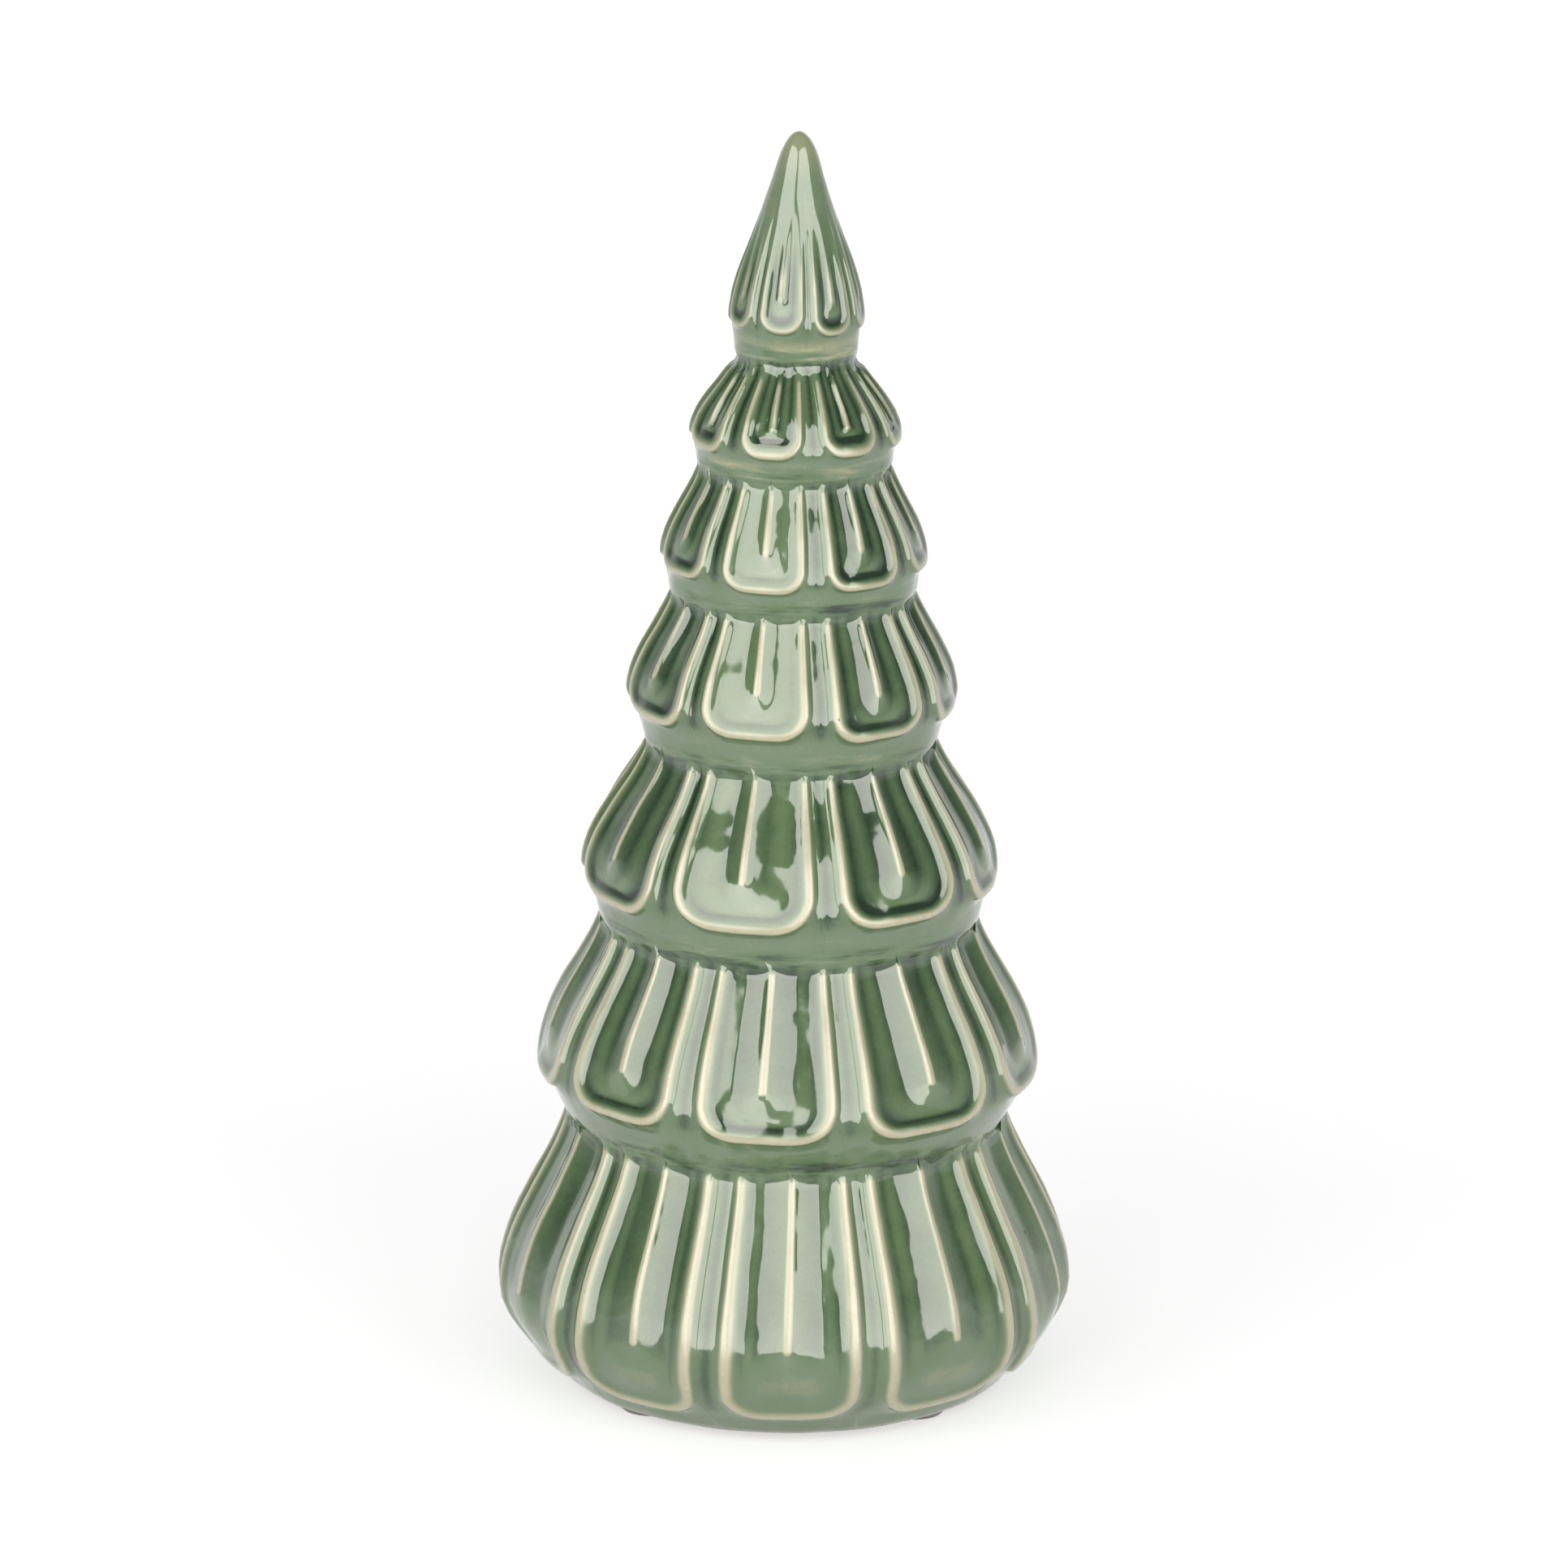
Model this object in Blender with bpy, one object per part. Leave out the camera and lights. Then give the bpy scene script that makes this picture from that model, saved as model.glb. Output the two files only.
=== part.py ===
"""Glazed stoneware Christmas tree: seven leafed tiers cast as one hollow shell, on four felt pads.

Metres, +Z up. The origin is the middle of the footprint, on the surface that the pads stand on.
Azimuth 0 is the front, towards -Y, and azimuths grow towards +X.
Each tier is a skirt that flares from its neck to its rim and turns in again to the neck below it.
A ring of leaves covers it. Each leaf is a U-shaped ridge round a dished field with a rib down its middle,
and a groove parts it from the next leaf.
"""
from collections import namedtuple
from math import atan2, cos, pi, radians, sin

import bmesh
import bpy
import numpy as np

# Casting: wall, foot and pour hole
WALL = 0.0045
FLOOR_THICKNESS = 0.0045
FOOT_RADIUS = 0.036
POUR_HOLE_RADIUS = 0.023
HOLLOW_SIDES = 24

# Felt pads under the foot ring
PAD_THICKNESS = 0.001
PAD_MARGIN = 0.0016
PAD_EDGE = 0.0002
PAD_SIDES = 24
ADHESIVE_GAP = 0.0003
PAD_AZIMUTHS = (45, 135, 225, 315)

# Height of each tier from neck to neck, counted from the foot up; the seventh is the bud
TIER_1_HEIGHT = 0.0433
TIER_2_HEIGHT = 0.0320
TIER_3_HEIGHT = 0.0290
TIER_4_HEIGHT = 0.0240
TIER_5_HEIGHT = 0.0201
TIER_6_HEIGHT = 0.0176
TIER_7_HEIGHT = 0.0340

# Height of each tier's rim over the neck below it
RIM_1_RISE = 0.0134
RIM_2_RISE = 0.0074
RIM_3_RISE = 0.0072
RIM_4_RISE = 0.0070
RIM_5_RISE = 0.0045
RIM_6_RISE = 0.0040
RIM_7_RISE = 0.0049

# Radius of each tier at its rim
RIM_1_RADIUS = 0.0461
RIM_2_RADIUS = 0.0401
RIM_3_RADIUS = 0.0332
RIM_4_RADIUS = 0.0263
RIM_5_RADIUS = 0.0212
RIM_6_RADIUS = 0.0168
RIM_7_RADIUS = 0.0108

# Radius of the neck on top of each tier; the bud has a tip there
NECK_1_RADIUS = 0.0352
NECK_2_RADIUS = 0.0301
NECK_3_RADIUS = 0.0231
NECK_4_RADIUS = 0.0193
NECK_5_RADIUS = 0.0152
NECK_6_RADIUS = 0.0095

# How far the leaves run on below the rim
LEAF_1_DROP = 0.0110
LEAF_2_DROP = 0.0015
LEAF_3_DROP = 0.0016
LEAF_4_DROP = 0.0019
LEAF_5_DROP = 0.0006
LEAF_6_DROP = 0.0004
LEAF_7_DROP = 0.0006

# Space between the end of a leaf's rib and the end of the leaf
RIB_1_SPACE = 0.0120
RIB_2_SPACE = 0.0062
RIB_3_SPACE = 0.0061
RIB_4_SPACE = 0.0058
RIB_5_SPACE = 0.0049
RIB_6_SPACE = 0.0034
RIB_7_SPACE = 0.0045

# Tiers from the foot up, with how full the relief is, the number of leaves, the front groove's azimuth
# and the phase of the grooves' wander
Tier = namedtuple(
    "Tier", "height rim_rise rim_radius neck_radius leaf_drop rib_space relief leaves turn phase")
TIERS = (
    Tier(TIER_1_HEIGHT, RIM_1_RISE, RIM_1_RADIUS, NECK_1_RADIUS,
         LEAF_1_DROP, RIB_1_SPACE, 1.00, 10, 20.7, -107),
    Tier(TIER_2_HEIGHT, RIM_2_RISE, RIM_2_RADIUS, NECK_2_RADIUS,
         LEAF_2_DROP, RIB_2_SPACE, 1.00, 9, 16.7, -95),
    Tier(TIER_3_HEIGHT, RIM_3_RISE, RIM_3_RADIUS, NECK_3_RADIUS,
         LEAF_3_DROP, RIB_3_SPACE, 1.00, 8, 9.3, 27),
    Tier(TIER_4_HEIGHT, RIM_4_RISE, RIM_4_RADIUS, NECK_4_RADIUS,
         LEAF_4_DROP, RIB_4_SPACE, 0.95, 8, 9.3, 27),
    Tier(TIER_5_HEIGHT, RIM_5_RISE, RIM_5_RADIUS, NECK_5_RADIUS,
         LEAF_5_DROP, RIB_5_SPACE, 0.80, 8, 9.3, 27),
    Tier(TIER_6_HEIGHT, RIM_6_RISE, RIM_6_RADIUS, NECK_6_RADIUS,
         LEAF_6_DROP, RIB_6_SPACE, 0.70, 8, 9.3, 27),
    Tier(TIER_7_HEIGHT, RIM_7_RISE, RIM_7_RADIUS, 0.0,
         LEAF_7_DROP, RIB_7_SPACE, 0.55, 8, 9.3, 27),
)

# Leaves
LEAF_GAP = 0.0030
LEAF_GAP_GROWTH = 0.07
CORNER_SHARE = 0.56
RIDGE_FOOT = 0.0013
RIDGE_HEIGHT = 0.001
RIDGE_RISE = 0.002
OUTER_FOOT_DEPTH = 0.0008
GROOVE_DEPTH = 0.0014
DISH_DEPTH = 0.0013
RIB_FOOT = 0.0014
RIB_DROP = 0.0001
RIM_MARGIN = 0.0017
SIDE_ROWS = (4, 3, 3, 3, 2, 2, 2)
DISH_SHARES = ((0.3, 0.65),) + 6 * ((0.5,),)
LEAF_BENDS = 3
RIB_BENDS = LEAF_BENDS + 1
UNDERSIDE_SHARE = 0.4

# The bud on top: its leaves start this far down its surface and rise over this length
BUD_LEAF_START = 0.0105
BUD_LEAF_RISE = 0.009
BUD_CAP_SIDES = 20
BUD_CAP_RINGS = (0.12, 0.35, 0.7)

# The hand of the carver, in degrees and metres: nothing repeats exactly from leaf to leaf
GROOVE_WANDER = 2.3
GROOVE_STEP = 75
GROOVE_SWAY = 0.9
LEAF_END_WANDER = 0.0005
RIB_END_WANDER = 0.0006
RIB_LEAN = 1.4

# Outline of a skirt: powers of the flank, of the underside and of the belly over the foot
FLANK_POWER = 1.44
UNDERSIDE_POWER = 1.5
BELLY_POWER = 1.85
BUD_POWER = (0.6, 0.75)
OUTLINE_STEPS = 48

GLAZE_GREEN = (0.13, 0.22, 0.12, 1.0)
FELT_GREY = (0.16, 0.15, 0.13, 1.0)


def clear_scene():
    for old in list(bpy.data.objects):
        bpy.data.objects.remove(old, do_unlink=True)


def make_material(name, colour, roughness):
    material = bpy.data.materials.new(name)
    material.use_nodes = True
    surface = material.node_tree.nodes["Principled BSDF"]
    surface.inputs["Base Color"].default_value = colour
    surface.inputs["Roughness"].default_value = roughness
    surface.inputs["Metallic"].default_value = 0.0
    return material


def add_object(name, bm, material):
    bmesh.ops.recalc_face_normals(bm, faces=bm.faces)
    mesh = bpy.data.meshes.new(name)
    bm.to_mesh(mesh)
    bm.free()
    mesh.materials.append(material)
    made = bpy.data.objects.new(name, mesh)
    bpy.context.scene.collection.objects.link(made)
    return made


class Skirt:
    """One tier's outline, read by the distance down its surface from the neck (or the tip) on top."""

    def __init__(self, tier, foot, foot_radius, level):
        self.tier = tier
        self.level = level
        self.is_bud = tier.neck_radius == 0
        self.rim = foot + tier.rim_rise
        self.neck = foot + tier.height
        down = np.linspace(0, 1, OUTLINE_STEPS)
        under_power = BELLY_POWER if level == 0 else UNDERSIDE_POWER
        flank_down = down ** 2 if self.is_bud else down
        flank_radius = tier.neck_radius + (tier.rim_radius - tier.neck_radius) * self.flank_share(flank_down)
        flank_height = self.neck - flank_down * (self.neck - self.rim)
        under_radius = tier.rim_radius - (tier.rim_radius - foot_radius) * down ** under_power
        under_height = self.rim - down * tier.rim_rise
        self.radii = np.concatenate([flank_radius, under_radius[1:]])
        self.heights = np.concatenate([flank_height, under_height[1:]])
        steps = np.hypot(np.diff(self.radii), np.diff(self.heights))
        self.runs = np.concatenate([[0], np.cumsum(steps)])
        self.rim_run = self.runs[OUTLINE_STEPS - 1]
        self.end_run = self.runs[-1]
        slope_r = np.gradient(self.radii, self.runs)
        slope_z = np.gradient(self.heights, self.runs)
        size = np.hypot(slope_r, slope_z)
        self.out_r = -slope_z / size
        self.out_z = slope_r / size

    def flank_share(self, down):
        if self.is_bud:
            return np.sin(down * pi / 2) ** (BUD_POWER[0] + BUD_POWER[1] * down)
        return np.sin(down * pi / 2) ** FLANK_POWER

    def radius(self, run):
        return float(np.interp(run, self.runs, self.radii))

    def point(self, azimuth, run, inset):
        """A point on the skirt: azimuth in degrees, run down the surface, depth below the outline."""
        radius = self.radius(run) - inset * float(np.interp(run, self.runs, self.out_r))
        height = float(np.interp(run, self.runs, self.heights))
        height -= inset * float(np.interp(run, self.runs, self.out_z))
        turn = radians(azimuth)
        return radius * sin(turn), -radius * cos(turn), height


class Leaves:
    """The ring of leaves on one skirt, as rows of mesh vertices that neighbours share at the grooves."""

    def __init__(self, bm, skirt):
        self.bm = bm
        self.skirt = skirt
        self.tier = skirt.tier
        self.start = BUD_LEAF_START if skirt.is_bud else 0.0
        self.rise = BUD_LEAF_RISE if skirt.is_bud else RIDGE_RISE
        self.end = skirt.rim_run + self.tier.leaf_drop
        self.margin = self.end + RIM_MARGIN * self.tier.relief
        self.gap = LEAF_GAP + LEAF_GAP_GROWTH * self.tier.rim_radius
        self.rows = SIDE_ROWS[skirt.level]
        self.top_ring = []
        self.rim_ring = []

    def fade(self, run):
        share = min(max((run - self.start) / self.rise, 0.0), 1.0)
        return share * share * (3 - 2 * share) * self.tier.relief

    def vertex(self, azimuth, run, depth):
        return self.bm.verts.new(self.skirt.point(azimuth, run, depth * self.fade(run)))

    def number(self, index):
        """Leaves count from the front, with the seam of the wander at the back."""
        return index % self.tier.leaves - self.tier.leaves // 2

    def groove(self, index, run):
        number = self.number(index)
        pitch = 360 / self.tier.leaves
        wander = GROOVE_WANDER * sin(radians(GROOVE_STEP * number + self.tier.phase))
        sway = GROOVE_SWAY * sin(2.1 * number + self.skirt.level)
        return self.tier.turn + pitch * number + wander + sway * (run / self.end - 0.5)

    def field(self, index, run):
        """Azimuth of a leaf's middle and half the angle between the two grooves beside it."""
        left = self.groove(index, run)
        right = self.groove(index + 1, run)
        if right < left:
            right += 360
        return (left + right) / 2, (right - left) / 2

    def side_runs(self, bottom):
        """Rows down a leaf's side: its top, the end of the ridge's rise, even steps, and its bottom.

        On a side that runs past the rim, the row before the bottom lies on the rim.
        """
        first = self.start + self.rise
        if bottom > self.skirt.rim_run:
            last = self.skirt.rim_run
            steps = self.rows - 2
        else:
            last = bottom
            steps = self.rows - 1
        runs = [self.start] + [first + (last - first) * k / steps for k in range(steps + 1)]
        return runs if last == bottom else runs + [bottom]

    def u_line(self, index, half, corner, bottom, offset, depth, lean=0.0):
        """The line that lies offset outside a U of the given half width, corner radius and bottom."""
        rim_radius = self.tier.rim_radius
        places = [(half, offset, run) for run in self.side_runs(bottom - corner)]
        is_rib = half == corner
        bends = RIB_BENDS if is_rib else LEAF_BENDS
        for k in range(1, bends + 1):
            turn = pi / 2 * k / bends
            across = half - corner + corner * cos(turn)
            places.append((across, offset * cos(turn), bottom - corner + (corner + offset) * sin(turn)))
        if not is_rib:
            places.append((0.0, 0.0, bottom + offset))
        left, right = [], []
        for across, beside, run in places:
            middle = self.field(index, run)[0] + lean * (run / self.end)
            angle = (across / rim_radius + beside / self.skirt.radius(run)) * 180 / pi
            left.append((middle - angle, run))
            right.append((middle + angle, run))
        places = left + right[-2::-1]
        return [self.vertex(azimuth, run, depth) for azimuth, run in places]

    def dish_lines(self, index, half, end, rib_half, rib_end):
        """The deepest lines of the leaf's field, between the foot of its ridge and that of its rib."""
        made = []
        for share in DISH_SHARES[self.skirt.level]:
            dish_half = half + (rib_half - half) * share
            dish_end = end + (rib_end - end) * share
            made.append(self.u_line(index, dish_half, CORNER_SHARE * dish_half, dish_end, 0.0, DISH_DEPTH))
        return made

    def spine(self, index, end, lean):
        """The rib's crest: one line of vertices, read down, held at its end and read up again."""
        down = []
        for run in self.side_runs(end):
            down.append(self.vertex(self.field(index, run)[0] + lean * (run / self.end), run, RIB_DROP))
        return down + [down[-1]] * (2 * RIB_BENDS - 1) + down[::-1]

    def groove_line(self, index, corner):
        runs = self.side_runs(self.end - corner)
        runs.append((runs[-1] + self.margin) / 2)
        runs.append(self.margin)
        return [self.vertex(self.groove(index, run), run, GROOVE_DEPTH) for run in runs]

    def border(self, index, left, right, half, corner, end):
        """The leaf's outer border: down one groove, along the rim and up the next groove."""
        margin = end + RIM_MARGIN * self.tier.relief
        middle = self.field(index, self.end)[0]
        flat = (half - corner) / self.tier.rim_radius * 180 / pi
        along = [self.vertex(middle + turn, margin, OUTER_FOOT_DEPTH) for turn in (-flat, 0, flat)]
        self.rim_ring += [left[-1]] + along
        return left + along + right[::-1]

    def strip(self, outer, inner):
        for k in range(len(outer) - 1):
            corners = [outer[k], outer[k + 1], inner[k + 1], inner[k]]
            if inner[k] is inner[k + 1]:
                corners.pop()
            self.bm.faces.new(corners)

    def leaf(self, index, left, right):
        scale = self.tier.relief
        number = self.number(index)
        half_angle = self.field(index, self.end)[1]
        half = radians(half_angle) * self.tier.rim_radius - self.gap / 2
        corner = CORNER_SHARE * half
        end = self.end + LEAF_END_WANDER * scale * sin(1.7 * number + 2.3 * self.skirt.level)
        rib_end = end - self.tier.rib_space + RIB_END_WANDER * scale * sin(2.9 * number)
        rib_stop = rib_end - RIB_FOOT * scale
        lean = RIB_LEAN * sin(2.3 * number + 1.1 * self.skirt.level)
        border = self.border(index, left, right, half, corner, end)
        foot = RIDGE_FOOT * scale
        outer = self.u_line(index, half, corner, end, foot, OUTER_FOOT_DEPTH)
        crest = self.u_line(index, half, corner, end, 0.0, 0.0)
        inner = self.u_line(index, half, corner, end, -foot, RIDGE_HEIGHT)
        rib = self.u_line(index, 0.0, 0.0, rib_stop, RIB_FOOT * scale, RIDGE_HEIGHT, lean)
        dish = self.dish_lines(index, half - foot, end - foot, RIB_FOOT * scale, rib_end)
        spine = self.spine(index, rib_stop, lean)
        lines = [border, outer, crest, inner] + dish + [rib, spine]
        for k in range(len(lines) - 1):
            self.strip(lines[k], lines[k + 1])
        starts = [line[0] for line in lines]
        ends = [line[-1] for line in lines[1:-1]]
        self.top_ring += starts + ends[::-1]

    def build(self):
        count = self.tier.leaves
        widths = [radians(self.field(k, self.end)[1]) * self.tier.rim_radius for k in range(count)]
        corner = CORNER_SHARE * (sum(widths) / count - self.gap / 2)
        grooves = [self.groove_line(k, corner) for k in range(count)]
        for k in range(count):
            self.leaf(k, grooves[k], grooves[(k + 1) % count])

    def underside_ring(self):
        """The ring halfway between the leaves' rim and the neck below."""
        made = []
        run = (self.margin + self.skirt.end_run) / 2
        depth = UNDERSIDE_SHARE * GROOVE_DEPTH * self.tier.relief
        for vertex in self.rim_ring:
            azimuth = atan2(vertex.co.x, -vertex.co.y) * 180 / pi
            made.append(self.bm.verts.new(self.skirt.point(azimuth, run, depth)))
        return made


def join_rings(bm, upper, lower):
    """Quads between two closed rings of as many vertices each."""
    for k in range(len(upper)):
        after = (k + 1) % len(upper)
        bm.faces.new([upper[k], upper[after], lower[after], lower[k]])


def lace_rings(bm, upper, lower):
    """Triangles between two closed rings of unlike count, each vertex joined to the nearest azimuth."""
    def azimuth(vertex):
        return atan2(vertex.co.x, -vertex.co.y) % (2 * pi)

    rings = []
    for ring in (upper, lower):
        first = min(range(len(ring)), key=lambda k: azimuth(ring[k]))
        turned = ring[first:] + ring[:first]
        angles = [azimuth(vertex) for vertex in turned]
        rings.append((turned + turned[:1], angles + [angles[0] + 2 * pi]))
    (top, top_angles), (low, low_angles) = rings
    i = j = 0
    while i < len(top) - 1 or j < len(low) - 1:
        top_next = top_angles[i + 1] if i < len(top) - 1 else 9.9
        low_next = low_angles[j + 1] if j < len(low) - 1 else 9.9
        if top_next < low_next:
            bm.faces.new([top[i], top[i + 1], low[j]])
            i += 1
        else:
            bm.faces.new([top[i], low[j + 1], low[j]])
            j += 1


def bud_cap(bm, skirt, top_ring):
    """The smooth rounded tip above the bud's leaves."""
    rings = []
    azimuths = [360 * k / BUD_CAP_SIDES for k in range(BUD_CAP_SIDES)]
    for share in BUD_CAP_RINGS:
        places = [skirt.point(azimuth, BUD_LEAF_START * share, 0) for azimuth in azimuths]
        rings.append([bm.verts.new(place) for place in places])
    tip = bm.verts.new((0, 0, skirt.neck))
    for k in range(BUD_CAP_SIDES):
        bm.faces.new([tip, rings[0][k], rings[0][(k + 1) % BUD_CAP_SIDES]])
    for upper, lower in zip(rings, rings[1:]):
        join_rings(bm, upper, lower)
    lace_rings(bm, rings[-1], top_ring)


def stack_skirts(foot):
    """The skirts from the foot up, each standing on the neck of the one below."""
    skirts = []
    radius = FOOT_RADIUS
    for level, tier in enumerate(TIERS):
        skirts.append(Skirt(tier, foot, radius, level))
        foot += tier.height
        radius = tier.neck_radius
    return skirts


def cast_skin(skirts, material):
    """The tree's outside, closed flat at the foot."""
    bm = bmesh.new()
    above = None
    for skirt in reversed(skirts):
        leaves = Leaves(bm, skirt)
        leaves.build()
        if skirt.is_bud:
            bud_cap(bm, skirt, leaves.top_ring)
        else:
            lace_rings(bm, above, leaves.top_ring)
        if skirt.level > 0:
            above = leaves.underside_ring()
            join_rings(bm, leaves.rim_ring, above)
    foot_ring = []
    for vertex in leaves.rim_ring:
        azimuth = atan2(vertex.co.x, -vertex.co.y) * 180 / pi
        foot_ring.append(bm.verts.new(skirt.point(azimuth, skirt.end_run, 0)))
    join_rings(bm, leaves.rim_ring, foot_ring)
    bm.faces.new(foot_ring)
    return add_object("tree_shell", bm, material)


def hollow_cutter(skirts, foot):
    """What the poured-out slip leaves: a hollow that follows the tiers, open through the pour hole."""
    outline = [(0, foot - WALL), (POUR_HOLE_RADIUS, foot - WALL), (POUR_HOLE_RADIUS, foot + FLOOR_THICKNESS)]
    outline.append((FOOT_RADIUS, foot + FLOOR_THICKNESS))
    for skirt in skirts[:-1]:
        outline.append((skirt.tier.rim_radius - WALL, skirt.rim))
        if skirt is not skirts[-2]:
            outline.append((skirt.tier.neck_radius - WALL, skirt.neck))
    outline.append((0, skirts[-2].neck - WALL / 2))
    bm = bmesh.new()
    verts = [bm.verts.new((radius, 0, height)) for radius, height in outline]
    edges = [bm.edges.new(pair) for pair in zip(verts, verts[1:])]
    bmesh.ops.spin(bm, geom=verts + edges, cent=(0, 0, 0), axis=(0, 0, 1), angle=2 * pi,
                   steps=HOLLOW_SIDES, use_merge=True)
    bmesh.ops.remove_doubles(bm, verts=bm.verts, dist=0.00001)
    cutter = add_object("hollow_cutter", bm, make_material("cutter", FELT_GREY, 1.0))
    cutter.hide_render = True
    cutter.display_type = "WIRE"
    return cutter


def cut_hollow(shell, cutter):
    cut = shell.modifiers.new("hollow", "BOOLEAN")
    cut.object = cutter
    cut.operation = "DIFFERENCE"
    cut.solver = "EXACT"


def felt_pad(name, azimuth, material):
    """A round felt disc with a softened lower edge, centred on the foot ring."""
    ring_radius = (FOOT_RADIUS + POUR_HOLE_RADIUS) / 2
    pad_radius = (FOOT_RADIUS - POUR_HOLE_RADIUS) / 2 - PAD_MARGIN
    bm = bmesh.new()
    bmesh.ops.create_cone(bm, cap_ends=True, segments=PAD_SIDES, radius1=pad_radius, radius2=pad_radius,
                          depth=PAD_THICKNESS)
    lower_edge = [edge for edge in bm.edges if all(vertex.co.z < 0 for vertex in edge.verts)]
    bmesh.ops.bevel(bm, geom=lower_edge, offset=PAD_EDGE, segments=1, affect="EDGES")
    pad = add_object(name, bm, material)
    turn = radians(azimuth)
    pad.location = (ring_radius * sin(turn), -ring_radius * cos(turn), PAD_THICKNESS / 2)
    return pad


def shade_round(made, crease):
    made.data.shade_smooth()
    made.data.set_sharp_from_angle(angle=radians(crease))


def main():
    clear_scene()
    foot = PAD_THICKNESS + ADHESIVE_GAP
    skirts = stack_skirts(foot)
    shell = cast_skin(skirts, make_material("glazed_stoneware", GLAZE_GREEN, 0.12))
    cut_hollow(shell, hollow_cutter(skirts, foot))
    shade_round(shell, 60)
    for number, azimuth in enumerate(PAD_AZIMUTHS, start=1):
        pad = felt_pad(f"felt_pad_{number}", azimuth, make_material(f"felt_{number}", FELT_GREY, 0.95))
        shade_round(pad, 40)


main()
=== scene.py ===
"""Glazed stoneware Christmas tree on felt pads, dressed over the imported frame, with its studio.

Metres, +Z up, the front towards -Y. Lists of tier sizes count from the foot up, and the seventh tier is the
bud. A leaf is a U-shaped ridge round a dished field with a rib down its middle, and a groove parts it from
the next leaf. "Run" is the distance down a tier's surface from the neck (or the tip) on top of it.
"""

from math import atan2, cos, inf, pi, radians, sin, tan

import bmesh
import bpy
import numpy as np
from bpy.props import FloatProperty, FloatVectorProperty, IntVectorProperty, PointerProperty
from mathutils import Matrix, Vector


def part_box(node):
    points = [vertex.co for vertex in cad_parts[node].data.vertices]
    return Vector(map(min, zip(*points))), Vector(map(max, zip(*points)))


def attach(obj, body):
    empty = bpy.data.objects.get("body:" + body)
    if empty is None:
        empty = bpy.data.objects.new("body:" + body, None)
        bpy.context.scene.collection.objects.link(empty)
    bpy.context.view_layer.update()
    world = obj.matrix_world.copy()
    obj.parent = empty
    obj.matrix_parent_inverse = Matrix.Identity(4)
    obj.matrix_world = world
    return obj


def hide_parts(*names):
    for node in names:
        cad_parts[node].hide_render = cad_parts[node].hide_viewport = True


bl_info = {
    "name": "Glazed Christmas Tree",
    "version": (1, 0, 0),
    "blender": (4, 5, 0),
    "location": "3D View > Sidebar > Glazed Tree",
    "description": "Builds a glazed stoneware Christmas tree figurine on felt pads, and its studio",
    "category": "Object",
}

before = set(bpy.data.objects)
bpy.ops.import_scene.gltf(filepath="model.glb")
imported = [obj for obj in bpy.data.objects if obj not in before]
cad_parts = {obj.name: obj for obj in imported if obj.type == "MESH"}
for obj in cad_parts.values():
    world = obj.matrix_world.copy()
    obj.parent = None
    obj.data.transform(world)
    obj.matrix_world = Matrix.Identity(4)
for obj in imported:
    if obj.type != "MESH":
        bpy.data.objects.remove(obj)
SHELL_LOW, SHELL_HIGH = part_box("tree_shell")
PAD_NODES = ("felt_pad_1", "felt_pad_2", "felt_pad_3", "felt_pad_4")
TIERS = 7
MM = 0.001


# Properties

def quantity(name, description, default, unit="NONE", scale=1.0):
    """A property with one number, or with a tuple of one for each tier, times the scale."""
    if isinstance(default, tuple):
        return FloatVectorProperty(name=name, description=description, unit=unit, precision=5, size=TIERS,
                                   default=[part * scale for part in default])
    return FloatProperty(name=name, description=description, unit=unit, precision=5, default=default * scale)


def length(name, description, millimetres):
    return quantity(name, description, millimetres, "LENGTH", MM)


def angle(name, description, degrees):
    return quantity(name, description, degrees, "ROTATION", radians(1))


def colour(name, description, default):
    return FloatVectorProperty(name=name, description=description, size=3, default=default, subtype="COLOR",
                               min=0.0, max=1.0)


class TreeSizes(bpy.types.PropertyGroup):
    """The casting's outline, tier by tier from the foot up, and its wall."""

    heights: length(
        "Tier heights", "Height of each tier from neck to neck", (43.3, 32, 29, 24, 20.1, 17.6, 34))
    rim_rises: length(
        "Rim rises", "Height of each rim over the neck below it", (13.4, 7.4, 7.2, 7, 4.5, 4, 4.9))
    rim_radii: length(
        "Rim radii", "Radius of each tier at its rim", (46.1, 40.1, 33.2, 26.3, 21.2, 16.8, 10.8))
    neck_radii: length("Neck radii", "Radius of the neck on top of each tier; the bud ends in a tip",
                       (35.2, 30.1, 23.1, 19.3, 15.2, 9.5, 0))
    foot_height: length("Foot height", "Height of the foot ring over the table", SHELL_LOW.z / MM)
    foot_radius: length("Foot radius", "Outer radius of the foot ring", 36)
    neck_fillet: length("Neck fillet", "Reach of the soft fillet in each neck", 2.2)
    wall: length("Wall", "Thickness of the cast wall", 4.5)
    floor_thickness: length("Floor thickness", "Thickness of the floor round the pour hole", 4.5)
    pour_hole_radius: length("Pour hole radius", "Radius of the hole that the slip was poured through", 23)


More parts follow.
